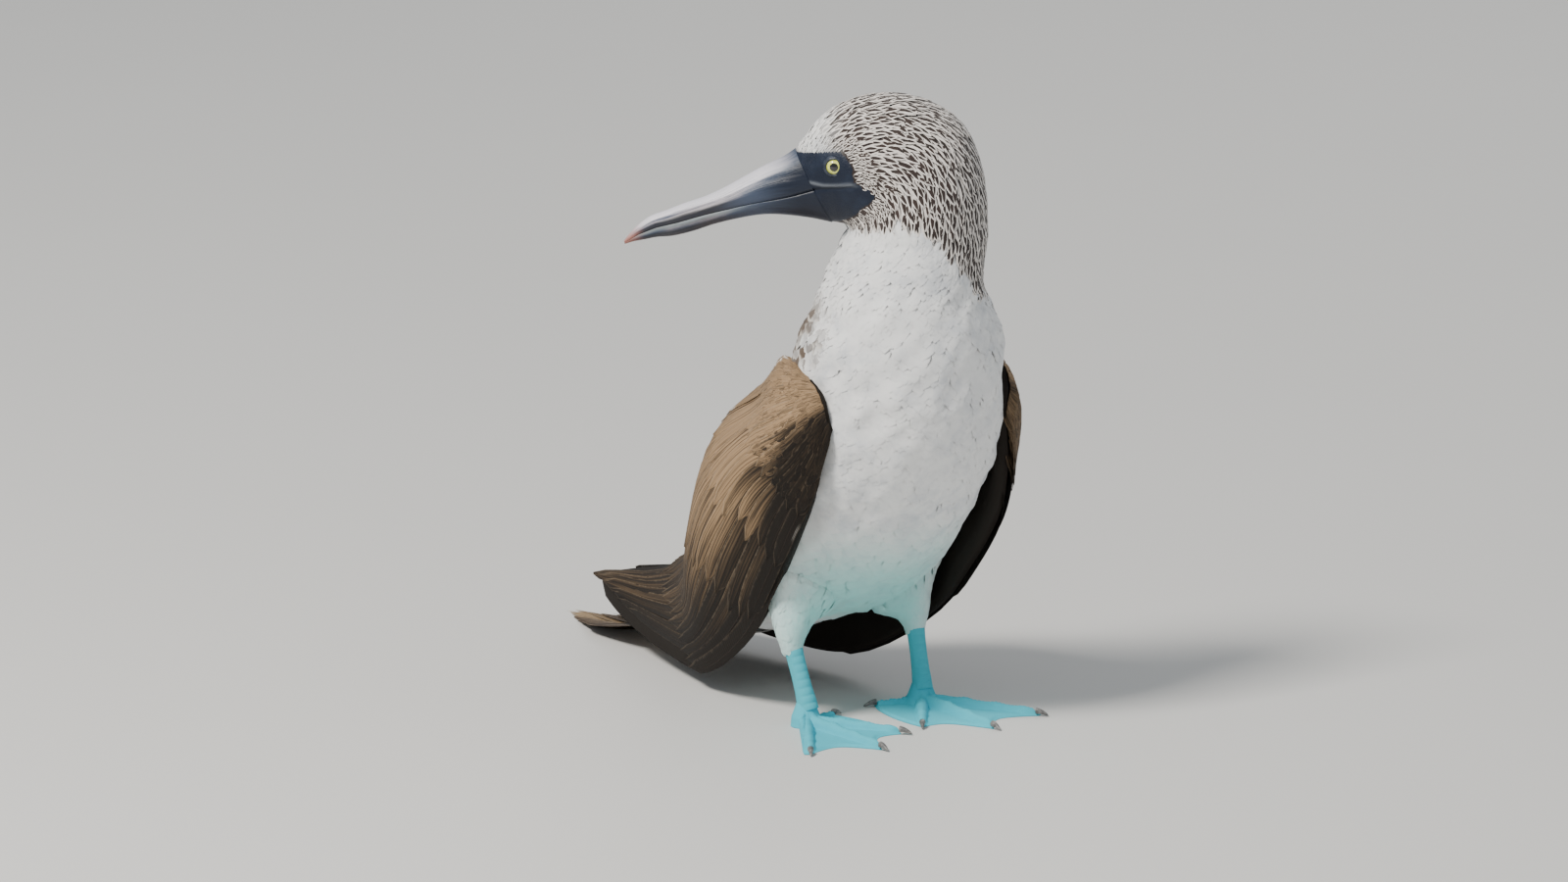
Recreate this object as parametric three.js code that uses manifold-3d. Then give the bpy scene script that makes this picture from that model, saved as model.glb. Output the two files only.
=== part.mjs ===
// A blue footed booby standing on level ground, life size, in millimetres.
// +Z is up, the breast faces -Y and the bird's left side is +X. The head is turned to its right.
import * as THREE from "three";
import Module from "manifold-3d";

const wasm = await Module();
wasm.setup();

const GAP = 0.3; // clearance between neighbouring bodies
const NEAR = 0.01; // step along a table, to find which way a surface faces
const HEAD_TURN = 58; // degrees from the bird's right (-X) round to where the bill points
const HINGE = new THREE.Vector3(-27, -21.3, 275.3); // corner between the throat and the neck

const COLOURS = {
  head: 0xd9d3c4,
  billUpper: 0x7d8799,
  billLower: 0x768092,
  eye: 0xe2d48a,
  neck: 0xded8cb,
  torso: 0xe9e7e2,
  wing: 0x5a4a3c,
  tail: 0x6a5847,
  leg: 0x46b9c4,
};

// Rows are x, y, z of the ring's middle, then its half width and half depth, from the rump up to
// the throat.
const TORSO = [
  [0, 134, 36, 9, 6],
  [0, 124, 41, 21, 14],
  [0, 96, 58, 39, 30],
  [0, 64, 84, 54, 46],
  [0, 32, 111, 62, 57],
  [0, 2, 139, 64, 61],
  [0, -22, 167, 62, 58],
  [0, -31.5, 196, 58, 57.5],
  [0, -38.5, 222, 54, 51],
  [-1.5, -40.5, 250, 43.5, 43.5],
  [5.7, -41.7, 275.3, 39, 38.6],
];
const TORSO_RINGS = 22;
const RING_SIDES = 26;

// Rings of the head fan out from the throat. Rows are forward and up of the throat end, forward and
// up of the crown end, both from the hinge, and the half width.
const HEAD = [
  [0, 0, -77.2, 0, 39],
  [-0.6, 1.2, -76.4, 19, 38.6],
  [-0.7, 2.3, -73, 39, 37.6],
  [-0.4, 3.2, -63.4, 59.5, 36],
  [0.2, 3.9, -46.5, 71.5, 33.8],
  [1.1, 4.4, -26, 76.4, 30.6],
  [2.4, 4.8, -6, 74, 26.4],
  [4.2, 5.2, 11.5, 65, 21.8],
  [5.7, 5.6, 21.8, 52.6, 17.4],
  [7, 6, 26.8, 47.8, 15],
];
const HEAD_RINGS = 15;

// Rows are forward and up of the ridge, forward and up of the underside, and the half width, from
// base to tip.
const BILL = [
  [26.8, 47.8, 7, 6, 15],
  [33.2, 42.2, 20, 8.6, 13.2],
  [43.6, 36.6, 35, 10.2, 11.2],
  [53.7, 31, 46, 10, 9.8],
  [64.9, 24.7, 58.5, 7.8, 8.4],
  [75.5, 19.8, 70.5, 4.8, 7.2],
  [86.7, 16, 82.5, 0.8, 6.2],
  [96.8, 12, 93, -1.7, 5.4],
  [104.5, 9.2, 101.5, -2.4, 4.6],
  [110.5, 5.2, 108.5, -3.8, 3.7],
  [115.5, 0.2, 114.2, -4.9, 2.5],
  [119.4, -4.4, 119, -6.4, 0.8],
];
const BILL_RINGS = 18;
const BILL_SIDES = 16;

// The line of the mouth, forward and up from the hinge.
const MOUTH = [
  [-6, 30],
  [8, 28],
  [18, 25.8],
  [26.7, 22.8],
  [35.6, 20.2],
  [43.6, 18.5],
  [54.2, 16.4],
  [64.5, 13.7],
  [75.3, 10.9],
  [86, 7.6],
  [91.3, 6.1],
  [101.9, 3.4],
  [112.3, -1],
  [119, -5.5],
  [124, -9],
];
const MOUTH_BLOCK = { width: 30, height: 60 }; // reaches past the bill on every side
const EYE = { forward: 5.1, up: 40.3, across: 16.6, radius: 7.4, turn: 8, sides: 14, rings: 8 };
const LID = { radius: 5.5, tube: 1.25, across: 21.8, sides: 6 };
const NECK_BOTTOM = 236;
const NECK_TOP = 272;

// Each row holds four points across the left wing at one station: upper edge, two of the outer face,
// lower edge.
// Stations run from the shoulder and wrist to the tip of the longest primary.
const WING = [
  [[54, -20, 205], [62, -43, 200], [61, -54, 188], [57, -56, 174]],
  [[44, 10, 203], [65, -12, 194], [76, -34, 168], [61.5, -46, 140]],
  [[27, 44, 190], [54, 27, 176], [80, 2, 149], [64, -28, 110]],
  [[12, 82, 162], [52, 74, 150], [79, 40, 114], [60, -1, 77]],
  [[6, 118, 118], [46, 101, 104], [68, 76, 76], [55, 33, 42]],
  [[5, 146, 80], [36, 130, 70], [54, 106, 46], [48, 91, 11]],
  [[5, 188, 55], [24, 182, 49], [38, 166, 34], [40, 146, 9]],
  [[8, 236, 42], [18, 233, 39], [26, 228, 31], [29, 216, 18]],
  [[13, 264, 35], [15, 264, 34], [17, 263, 33], [19, 261, 31]],
];
// How much further out, forward and up the left wing's lower edge is held, station by station.
const LEFT_EDGE = [
  [0, 0, 0],
  [2, -4, 0],
  [4, -8, 0],
  [6, -11, 0],
  [6, -12, 2],
  [3, -6, 1],
  [0, 0, 0],
  [0, 0, 0],
  [0, 0, 0],
];
const WING_STEPS_LONG = 13;
const WING_STEPS_ACROSS = 5;
const WING_DEPTH = { tip: 1.6, body: 22, from: 0.35, to: 0.62, edge: 0.5, rim: 0.08 };

// Tiers of long feathers on the wing, lowest first. Each runs from root to tip along the wing (u), with
// its feathers set side by side across it (v) from first to last, lying at a height above the wing's
// own body in mm.
const WING_TIERS = [
  {
    name: "primaries",
    count: 5,
    root: [0.5, 0.54],
    tip: [0.995, 0.84],
    first: 0.36,
    last: 0.86,
    gather: 0.8,
    width: 6.2,
    height: 0.8,
  },
  {
    name: "secondaries",
    count: 8,
    root: [0.31, 0.34],
    tip: [0.72, 0.66],
    first: 0.08,
    last: 0.92,
    gather: 1,
    width: 9.4,
    height: 2,
  },
  {
    name: "greater coverts",
    count: 7,
    root: [0.17, 0.2],
    tip: [0.48, 0.44],
    first: 0.1,
    last: 0.91,
    gather: 1,
    width: 10.4,
    height: 3.3,
  },
  {
    name: "median coverts",
    count: 6,
    root: [0.05, 0.07],
    tip: [0.3, 0.26],
    first: 0.15,
    last: 0.89,
    gather: 1,
    width: 11,
    height: 4.6,
  },
  {
    name: "scapulars",
    count: 3,
    root: [0.1, 0.12],
    tip: [0.5, 0.42],
    first: 0.08,
    last: 0.3,
    gather: 1,
    width: 7.5,
    height: 5.8,
  },
];
const VANE = {
  segments: 3,
  thickness: 0.7,
  thin: 0.6,
  tilt: 0.5,
  camber: 0.35,
  jitter: 0.008,
  rootDepth: 2.2,
  risen: 0.3,
};
const VANE_SHAPE = { root: 0.62, widest: 0.45, taper: [0.62, 1.04], power: 1.4, tip: 0.16 };
const REACH = 0.05; // of the wing's width either way, to measure how wide it is
const WING_INSET = 3.2; // how far the wing's own body lies under the outer face of its feathers

// Tail feathers on one side, from the middle one outwards.
const TAIL_FEATHERS = {
  count: 6,
  root: 118,
  tip: 311,
  step: 9.5,
  jitter: 4,
  spreadRoot: 2.4,
  spreadTip: 3.6,
  bow: 4,
  width: 7.6,
  layer: 0.75,
  flat: 0.8,
  seed: 5,
};
const TAIL_VANE = { edge: 0.7, middle: 1.1, roof: 0.35, start: 0.4 };

// Rows are y, z of the middle, half width and half thickness of the tail under its feathers, from root
// to tip.
const TAIL = [
  [104, 51, 17, 9],
  [124, 43.4, 23, 7.6],
  [150, 34, 24, 5.4],
  [180, 24.6, 22, 2.8],
  [205, 18, 18, 1],
];
const TAIL_RING = { steps: 8, sides: 14, lean: [0, 0.14, 0.99] };
// Rows are y and z of the tail's underside along its middle.
const TAIL_LINE = [
  [104, 47],
  [124, 39.5],
  [150, 30.5],
  [180, 21.6],
  [210, 14.2],
  [240, 8.6],
  [270, 4],
  [296, 0.9],
  [311, 0],
];

const LEGS = {
  left: { side: 1, ankle: [40, 6], knee: [40, 13], turn: 4, thigh: 1.28 },
  right: { side: -1, ankle: [-41, -4], knee: [-45, 4], turn: 0, thigh: 1 },
};
const ANKLE_TOP = 15;
const THIGH_BOTTOM = 45;
// Rows are the direction from straight ahead (outwards positive), length to the claw, and radius at
// the root and at the claw.
const TOES = [
  { turn: 30, length: 72, root: 4.4, tip: 2.5 },
  { turn: -3, length: 74, root: 4.6, tip: 2.6 },
  { turn: -36, length: 58, root: 4.2, tip: 2.4 },
  { turn: -112, length: 27, root: 3.2, tip: 2 },
];
const TOE_STATIONS = [0, 0.3, 0.65, 0.92, 1];
const TOE_END = 0.6; // how much thinner the last station is
const TOE_SINK = 0.8; // height of a toe's middle, as a share of its radius
const TOE_SIDES = 7;
const WEB = { thickness: 1.7, reach: 0.78, steps: 4, tip: 0.97, curve: 0.8 };
const HEEL = [[-170, 9], [150, 9], [80, 7]]; // directions and reaches of the sole behind the toes
const CLAW = {
  length: 6,
  root: 1.8,
  from: 0.96,
  rise: 0.6,
  along: [0, 0.55, 1],
  taper: [1, 0.7, 0.15],
  sides: 6,
};
// Rows are height and radius.
const ANKLE_HUB = [[-2, 6.6], [4, 7], [9, 6.2], [ANKLE_TOP + 2, 5.6]];
const SHANK = [[ANKLE_TOP - 3, 5.4], [20, 4.9], [28, 4.7], [36, 4.8], [THIGH_BOTTOM + 3, 5.4]];
// Rows are the share of the knee's distance from the bird's middle, the distance behind the knee,
// height and radius.
const THIGH = [
  [1, 0, THIGH_BOTTOM - 3, 7.2],
  [0.98, 2, 50, 9.6],
  [0.91, 5, 60, 13.5],
  [0.76, 9, 76, 21],
  [0.66, 14, 98, 26],
  [0.5, 18, 120, 20],
];
const LIMB_SIDES = { thigh: 20, shank: 16 };
const UPRIGHT = 0.8; // how steep a limb is when its rings are turned to the front

const radians = (degrees) => (degrees * Math.PI) / 180;
const forward = new THREE.Vector3(-Math.sin(radians(HEAD_TURN)), Math.cos(radians(HEAD_TURN)), 0);
const up = new THREE.Vector3(0, 0, 1);
const across = new THREE.Vector3().crossVectors(up, forward); // towards the left side of the head
const point = (x, y, z) => new THREE.Vector3(x, y, z);
const inHead = (f, u, a) =>
  HINGE.clone().addScaledVector(forward, f).addScaledVector(up, u).addScaledVector(across, a);

// The row at t from 0 to 1 along a table, every column smoothed through the rows.
function rowAt(rows, t) {
  const place = Math.min(Math.max(t, 0), 1) * (rows.length - 1);
  const i = Math.min(Math.floor(place), rows.length - 2);
  const s = place - i;
  const [a, b, c, d] = [Math.max(i - 1, 0), i, i + 1, Math.min(i + 2, rows.length - 1)].map((k) => rows[k]);
  return b.map((_, k) => {
    const slopeIn = (c[k] - a[k]) / 2;
    const slopeOut = (d[k] - b[k]) / 2;
    const cubic = 2 * b[k] - 2 * c[k] + slopeIn + slopeOut;
    return ((cubic * s + 3 * c[k] - 3 * b[k] - 2 * slopeIn - slopeOut) * s + slopeIn) * s + b[k];
  });
}

// A closed geometry from rings of equal count, capped at both ends.
function loft(rings) {
  const n = rings[0].length;
  const points = rings.flat();
  const ends = [rings[0], rings[rings.length - 1]].map((ring) =>
    ring.reduce((sum, p) => sum.add(p), point(0, 0, 0)).divideScalar(n),
  );
  const index = [];
  for (let r = 0; r + 1 < rings.length; r++)
    for (let k = 0; k < n; k++) {
      const [a, b] = [r * n + k, r * n + ((k + 1) % n)];
      index.push(a, b, b + n, a, b + n, a + n);
    }
  const first = points.length;
  const last = (rings.length - 1) * n;
  for (let k = 0; k < n; k++) {
    index.push(first, (k + 1) % n, k);
    index.push(first + 1, last + k, last + ((k + 1) % n));
  }
  return closed([...points, ...ends], index);
}

// A geometry from points and triangles, turned to face out.
function closed(points, index) {
  let volume = 0;
  for (let i = 0; i < index.length; i += 3) {
    const [a, b, c] = [points[index[i]], points[index[i + 1]], points[index[i + 2]]];
    volume += a.dot(new THREE.Vector3().crossVectors(b, c));
  }
  if (volume < 0)
    for (let i = 0; i < index.length; i += 3) [index[i + 1], index[i + 2]] = [index[i + 2], index[i + 1]];
  const geometry = new THREE.BufferGeometry().setFromPoints(points);
  geometry.setIndex(index);
  return geometry;
}

function solid(geometry) {
  return new wasm.Manifold(
    new wasm.Mesh({
      numProp: 3,
      vertProperties: new Float32Array(geometry.attributes.position.array),
      triVerts: new Uint32Array(geometry.index.array),
    }),
  );
}

// The largest body of a solid, as a geometry.
function largest(body) {
  const bodies = body.decompose().sort((a, b) => b.volume() - a.volume());
  const mesh = bodies[0].getMesh();
  const geometry = new THREE.BufferGeometry();
  geometry.setAttribute("position", new THREE.BufferAttribute(new Float32Array(mesh.vertProperties), 3));
  geometry.setIndex(new THREE.BufferAttribute(new Uint32Array(mesh.triVerts), 1));
  return geometry;
}

const unite = (bodies) => bodies.reduce((sum, body) => sum.add(body));

// A ring round a middle in the plane of two directions.
function ring(middle, first, second, a, b, sides, start = 0) {
  return Array.from({ length: sides }, (_, k) => {
    const turn = start + (2 * Math.PI * k) / sides;
    const sideways = first.clone().multiplyScalar(a * Math.cos(turn));
    return middle.clone().add(sideways).addScaledVector(second, b * Math.sin(turn));
  });
}

// Where every ring of the torso starts, so that the body runs on into the head.
const nape = Math.atan2(-forward.y, -forward.x);

function torsoRing(t, grow) {
  const [x, y, z, halfWidth, halfDepth] = rowAt(TORSO, t);
  const [before, after] = [rowAt(TORSO, t - NEAR), rowAt(TORSO, t + NEAR)];
  const along = point(0, after[1] - before[1], after[2] - before[2]).normalize();
  const back = new THREE.Vector3().crossVectors(along, point(1, 0, 0));
  return ring(point(x, y, z), point(1, 0, 0), back, halfWidth + grow, halfDepth + grow, RING_SIDES, nape);
}

function headRing(t, grow) {
  const [f0, u0, f1, u1, halfWidth] = rowAt(HEAD, t);
  const [inner, outer] = [inHead(f0, u0, 0), inHead(f1, u1, 0)];
  const radial = outer.clone().sub(inner);
  const reach = radial.length() / 2;
  radial.normalize();
  const middle = inner.add(outer).multiplyScalar(0.5);
  return ring(middle, radial, across.clone().negate(), reach + grow, halfWidth + grow, RING_SIDES);
}

// Rises smoothly from 0 to 1 between two values.
function smooth(from, to, x) {
  const t = Math.min(Math.max((x - from) / (to - from), 0), 1);
  return t * t * (3 - 2 * t);
}

const steps = (count) => Array.from({ length: count + 1 }, (_, i) => i / count);
function bodyLoft(grow) {
  const rings = steps(TORSO_RINGS).map((t) => torsoRing(t, grow));
  return loft([...rings, ...steps(HEAD_RINGS).slice(1).map((t) => headRing(t, grow))]);
}

function billLoft() {
  return loft(
    steps(BILL_RINGS).map((t) => {
      const [f0, u0, f1, u1, halfWidth] = rowAt(BILL, t);
      const [top, bottom] = [inHead(f0, u0, 0), inHead(f1, u1, 0)];
      const radial = top.clone().sub(bottom);
      const reach = radial.length() / 2;
      const middle = top.add(bottom).multiplyScalar(0.5);
      return ring(middle, radial.normalize(), across, reach, halfWidth, BILL_SIDES);
    }),
  );
}

// Everything above a line in the head's middle plane, moved up or down by a shift.
function aboveLine(line, shift, { width, height }) {
  const rings = line.map(([f, u]) => [
    inHead(f, u + shift, -width),
    inHead(f, u + shift, width),
    inHead(f, u + shift + height, width),
    inHead(f, u + shift + height, -width),
  ]);
  return solid(loft(rings));
}

const zPlane = (z, facing) => [[0, 0, facing], z * facing];
const keep = (body, [normal, offset]) => body.trimByPlane(normal, offset);

// The direction an eye looks in.
function gaze(side) {
  const turn = radians(EYE.turn);
  const sideways = across.clone().multiplyScalar(side * Math.cos(turn));
  return sideways.addScaledVector(forward, Math.sin(turn));
}

function eyeBall(side, grow) {
  const middle = inHead(EYE.forward, EYE.up, side * EYE.across);
  const ball = new THREE.SphereGeometry(EYE.radius + grow, EYE.sides, EYE.rings);
  ball.deleteAttribute("uv");
  ball.applyQuaternion(new THREE.Quaternion().setFromUnitVectors(point(0, 1, 0), gaze(side)));
  ball.translate(middle.x, middle.y, middle.z);
  return ball;
}

function merged(geometry) {
  const found = new Map();
  const points = [];
  const position = geometry.attributes.position;
  const ids = Array.from({ length: position.count }, (_, i) => {
    const p = new THREE.Vector3().fromBufferAttribute(position, i);
    const key = p.toArray().map((v) => v.toFixed(3)).join();
    if (!found.has(key)) {
      found.set(key, points.length);
      points.push(p);
    }
    return found.get(key);
  });
  const index = [];
  for (let i = 0; i < geometry.index.count; i += 3) {
    const [a, b, c] = [0, 1, 2].map((k) => ids[geometry.index.getX(i + k)]);
    if (a !== b && b !== c && c !== a) index.push(a, b, c);
  }
  return closed(points, index);
}

function lidRing(side) {
  const lid = new THREE.TorusGeometry(LID.radius, LID.tube, LID.sides, EYE.sides);
  lid.applyQuaternion(new THREE.Quaternion().setFromUnitVectors(up, gaze(side)));
  const middle = inHead(EYE.forward, EYE.up, side * LID.across);
  lid.translate(middle.x, middle.y, middle.z);
  return solid(merged(lid));
}

const leftWing = WING.map(([top, high, low, edge], i) => [
  top,
  high,
  low,
  edge.map((value, k) => value + LEFT_EDGE[i][k]),
]);

// A point on the outer face of the wing on one side, u along it and v across it from the upper edge.
function wingPoint(side, u, v) {
  const stations = side > 0 ? leftWing : WING;
  const columns = [0, 1, 2, 3].map((k) => rowAt(stations.map((station) => station[k]), u));
  const [x, y, z] = rowAt(columns, v);
  return point(side * x, y, z);
}

function wingNormal(side, u, v) {
  const [u0, u1] = [Math.max(u - NEAR, 0), Math.min(u + NEAR, 1)];
  const [v0, v1] = [Math.max(v - 2 * NEAR, 0), Math.min(v + 2 * NEAR, 1)];
  const along = wingPoint(side, u1, v).sub(wingPoint(side, u0, v));
  const cross = wingPoint(side, u, v1).sub(wingPoint(side, u, v0));
  return new THREE.Vector3().crossVectors(cross, along).multiplyScalar(side).normalize();
}

// The body of the folded wing under its feathers: a shell that thins towards its edges and tip.
function wingShell(side) {
  const across = steps(WING_STEPS_ACROSS);
  const rings = steps(WING_STEPS_LONG).map((u) => {
    const depth = WING_DEPTH.tip + WING_DEPTH.body * (1 - smooth(WING_DEPTH.from, WING_DEPTH.to, u));
    const outer = across.map((v) => {
      const out = wingNormal(side, u, v);
      return wingPoint(side, u, v).addScaledVector(out, -WING_INSET);
    });
    const inner = across.map((v, k) => {
      const edge = Math.sin(Math.PI * (WING_DEPTH.rim + (1 - 2 * WING_DEPTH.rim) * v)) ** WING_DEPTH.edge;
      return outer[k].clone().addScaledVector(wingNormal(side, u, v), -depth * edge);
    });
    return [...outer, ...inner.reverse()];
  });
  return solid(loft(rings));
}

// A thin feather from rows of points across its upper face, each with a direction out and a thickness.
function vane(rows) {
  const top = rows.map((row) => row.map(({ at }) => at));
  const under = rows.map((row) => row.map(({ at, out, thick }) => at.clone().addScaledVector(out, -thick)));
  return solid(loft(top.map((row, i) => [...row, ...under[i].reverse()])));
}

// A repeatable run of numbers from 0 to 1.
function randomRun(seed) {
  let state = seed;
  return () => {
    state = (state * 16807) % 2147483647;
    return state / 2147483647;
  };
}

// How wide a feather is at s along it, as a share of its widest.
function vaneWidth(s) {
  const { root, widest, taper, power, tip } = VANE_SHAPE;
  return (root + (1 - root) * smooth(0, widest, s)) * (1 - (1 - tip) * smooth(...taper, s) ** power);
}

function wingFeathers(side) {
  const random = randomRun(side > 0 ? 71 : 1373);
  const feathers = [];
  for (const tier of WING_TIERS)
    for (let i = 0; i < tier.count; i++) {
      const place = i / (tier.count - 1);
      const wobble = () => (random() - 0.5) * 2 * VANE.jitter;
      const rootV = tier.first + (tier.last - tier.first) * place;
      const tipV = 0.5 + (rootV - 0.5) * tier.gather + wobble();
      const rootU = tier.root[0] + (tier.root[1] - tier.root[0]) * place + wobble();
      const tipU = tier.tip[0] + (tier.tip[1] - tier.tip[0]) * place + wobble();
      const rows = steps(VANE.segments).map((s) => {
        const u = rootU + (tipU - rootU) * s;
        const middle = rootV + (tipV - rootV) * s;
        const reach = wingPoint(side, u, middle + REACH).distanceTo(wingPoint(side, u, middle - REACH));
        const stretch = reach / (2 * REACH);
        const half = (tier.width * vaneWidth(s)) / stretch;
        const rise = -VANE.rootDepth + (tier.height + VANE.rootDepth) * smooth(0, VANE.risen, s);
        return [-1, 0, 1].map((k) => {
          const v = Math.min(Math.max(middle + k * half, NEAR / 2), 1 - NEAR / 2);
          const out = wingNormal(side, u, v);
          const lift = rise - WING_INSET - k * VANE.tilt + (k ? 0 : VANE.camber);
          const thick = VANE.thickness * (k ? VANE.thin : 1);
          return { at: wingPoint(side, u, v).addScaledVector(out, lift), out, thick };
        });
      });
      feathers.push(vane(rows));
    }
  return unite(feathers);
}

// The feathers of one half of the tail, the middle one longest and on top.
function tailFeathers(side) {
  const set = TAIL_FEATHERS;
  const random = randomRun(set.seed + side);
  const feathers = [];
  for (let i = 0; i < set.count; i++) {
    const tip = set.tip - set.step * i - (i ? set.jitter * random() : 0);
    const rows = steps(VANE.segments + 1).map((s) => {
      const y = set.root + (tip - set.root) * s;
      const z = rowAt(TAIL_LINE.map(([, height]) => [height]), lineShare(y))[0];
      const spread = set.spreadRoot + (set.spreadTip - set.spreadRoot) * s;
      const x = TAIL_VANE.start + spread * (i + 0.5) + set.bow * s * (1 - s);
      const half = set.width * vaneWidth(s);
      const layer = (set.count - 1 - i) * set.layer * (1 - smooth(set.flat, 1, s));
      return [-1, 0, 1].map((k) => {
        const inner = Math.max(x + k * half, GAP / 2);
        const thick = k ? TAIL_VANE.edge : TAIL_VANE.middle;
        const height = z + layer + thick + (k < 0 ? TAIL_VANE.roof * (1 - s) : 0);
        return { at: point(side * inner, y, height), out: up, thick };
      });
    });
    feathers.push(vane(rows));
  }
  return unite(feathers);
}

// How far y lies along the tail's line, from 0 to 1.
function lineShare(y) {
  const i = Math.max(TAIL_LINE.findIndex(([at]) => at >= y), 1);
  const [before, after] = [TAIL_LINE[i - 1][0], TAIL_LINE[i][0]];
  return (i - 1 + (y - before) / (after - before)) / (TAIL_LINE.length - 1);
}

function tailPlate() {
  return solid(
    loft(
      steps(TAIL_RING.steps).map((t) => {
        const [y, z, halfWidth, halfThick] = rowAt(TAIL, t);
        const lean = point(...TAIL_RING.lean);
        return ring(point(0, y, z), point(1, 0, 0), lean, halfWidth, halfThick, TAIL_RING.sides);
      }),
    ),
  );
}

// A limb from rings along a run of points, each with its own radius.
function limb(points, radii, sides) {
  const rings = points.map((p, i) => {
    const [before, after] = [points[Math.max(i - 1, 0)], points[Math.min(i + 1, points.length - 1)]];
    const along = after.clone().sub(before).normalize();
    const upright = Math.abs(along.z) > UPRIGHT ? point(0, 1, 0) : up;
    const first = new THREE.Vector3().crossVectors(upright, along).normalize();
    const second = new THREE.Vector3().crossVectors(along, first);
    return ring(p, first, second, radii[i], radii[i], sides);
  });
  return solid(loft(rings));
}

function thigh(leg, grow = 0) {
  const [kx, ky] = leg.knee;
  const points = THIGH.map(([share, behind, z]) => point(kx * share, ky + behind, z));
  const swell = (i) => 1 + (leg.thigh - 1) * Math.min(i / 2, 1);
  const radii = THIGH.map(([, , , radius], i) => radius * swell(i) + grow);
  return keep(limb(points, radii, LIMB_SIDES.thigh), zPlane(THIGH_BOTTOM - grow, 1));
}

function shank(leg) {
  const [kx, ky] = leg.knee;
  const [ax, ay] = leg.ankle;
  const points = SHANK.map(([z]) => {
    const t = (z - ANKLE_TOP) / (THIGH_BOTTOM - ANKLE_TOP);
    return point(ax + (kx - ax) * t, ay + (ky - ay) * t, z);
  });
  const whole = limb(points, SHANK.map(([, radius]) => radius), LIMB_SIDES.shank);
  return keep(keep(whole, zPlane(ANKLE_TOP, 1)), zPlane(THIGH_BOTTOM - GAP, -1));
}

function foot(leg) {
  const [ax, ay] = leg.ankle;
  const place = (turn, reach, z) => {
    const angle = radians(turn + leg.turn);
    return point(ax + leg.side * reach * Math.sin(angle), ay - reach * Math.cos(angle), z);
  };
  const bodies = [];
  for (const toe of TOES) {
    const radii = TOE_STATIONS.map((r) => (toe.root + (toe.tip - toe.root) * r) * (r < 1 ? 1 : TOE_END));
    const run = TOE_STATIONS.map((r, i) => place(toe.turn, toe.length * r, radii[i] * TOE_SINK));
    bodies.push(limb(run, radii, TOE_SIDES));
    const claw = CLAW.along.map((s) => {
      const height = CLAW.rise + (CLAW.root + CLAW.rise) * (1 - s * s);
      return place(toe.turn, toe.length * CLAW.from + CLAW.length * s, height);
    });
    bodies.push(limb(claw, CLAW.taper.map((s) => CLAW.root * s), CLAW.sides));
  }
  const edge = [];
  TOES.forEach((toe, i) => {
    const next = TOES[i + 1];
    const tip = toe.length * WEB.tip;
    edge.push([toe.turn, tip]);
    if (!next) return;
    for (let k = 1; k < WEB.steps; k++) {
      const s = k / WEB.steps;
      const scallop = 1 - (1 - WEB.reach) * Math.sin(Math.PI * s) ** WEB.curve;
      const reach = tip + (next.length * WEB.tip - tip) * s;
      edge.push([toe.turn + (next.turn - toe.turn) * s, reach * scallop]);
    }
  });
  edge.push(...HEEL);
  const sheet = (z) => edge.map(([turn, reach]) => place(turn, reach, z));
  const [bottom, top] = [sheet(0), sheet(WEB.thickness)];
  bodies.push(solid(loft([bottom, top])));
  const hub = ANKLE_HUB.map(([z]) => point(ax, ay, z));
  bodies.push(limb(hub, ANKLE_HUB.map(([, radius]) => radius), LIMB_SIDES.shank));
  return keep(keep(unite(bodies), zPlane(0, 1)), zPlane(ANKLE_TOP - GAP, -1));
}

function add(group, name, geometry, colour, roughness) {
  const material = new THREE.MeshStandardMaterial({ color: colour, roughness, metalness: 0 });
  const mesh = new THREE.Mesh(geometry, material);
  mesh.name = name;
  group.add(mesh);
}

const model = new THREE.Group();
model.name = "blue_footed_booby";

const body = solid(bodyLoft(0));
const clearance = solid(bodyLoft(GAP));
const bill = solid(billLoft());
const [ridgeF, ridgeU, underF, underU] = BILL[0];
const [baseRun, baseRise] = [ridgeF - underF, ridgeU - underU];
const baseNormal = forward.clone().multiplyScalar(baseRise).addScaledVector(up, -baseRun).normalize();
const baseOffset = baseNormal.dot(inHead(underF, underU, 0)) + GAP;

let head = keep(body, zPlane(NECK_TOP + GAP, 1));
const balls = [1, -1].map((side) => solid(merged(eyeBall(side, 0))));
head = unite([head, lidRing(1), lidRing(-1)]);
for (const side of [1, -1]) head = head.subtract(solid(merged(eyeBall(side, GAP))));
const billFront = keep(bill, [baseNormal.toArray(), baseOffset]);
const upper = billFront.intersect(aboveLine(MOUTH, GAP / 2, MOUTH_BLOCK));
const lower = billFront.subtract(aboveLine(MOUTH, -GAP / 2, MOUTH_BLOCK));
const neck = keep(keep(body, zPlane(NECK_TOP, -1)), zPlane(NECK_BOTTOM, 1));
const trunk = keep(body, zPlane(NECK_BOTTOM - GAP, -1));

add(model, "head", largest(head), COLOURS.head, 0.9);
add(model, "bill_upper", largest(upper), COLOURS.billUpper, 0.45);
add(model, "bill_lower", largest(lower), COLOURS.billLower, 0.45);
add(model, "eye_left", largest(balls[0]), COLOURS.eye, 0.15);
add(model, "eye_right", largest(balls[1]), COLOURS.eye, 0.15);
add(model, "neck", largest(neck), COLOURS.neck, 0.9);
add(model, "torso", largest(trunk), COLOURS.torso, 0.9);

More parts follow.
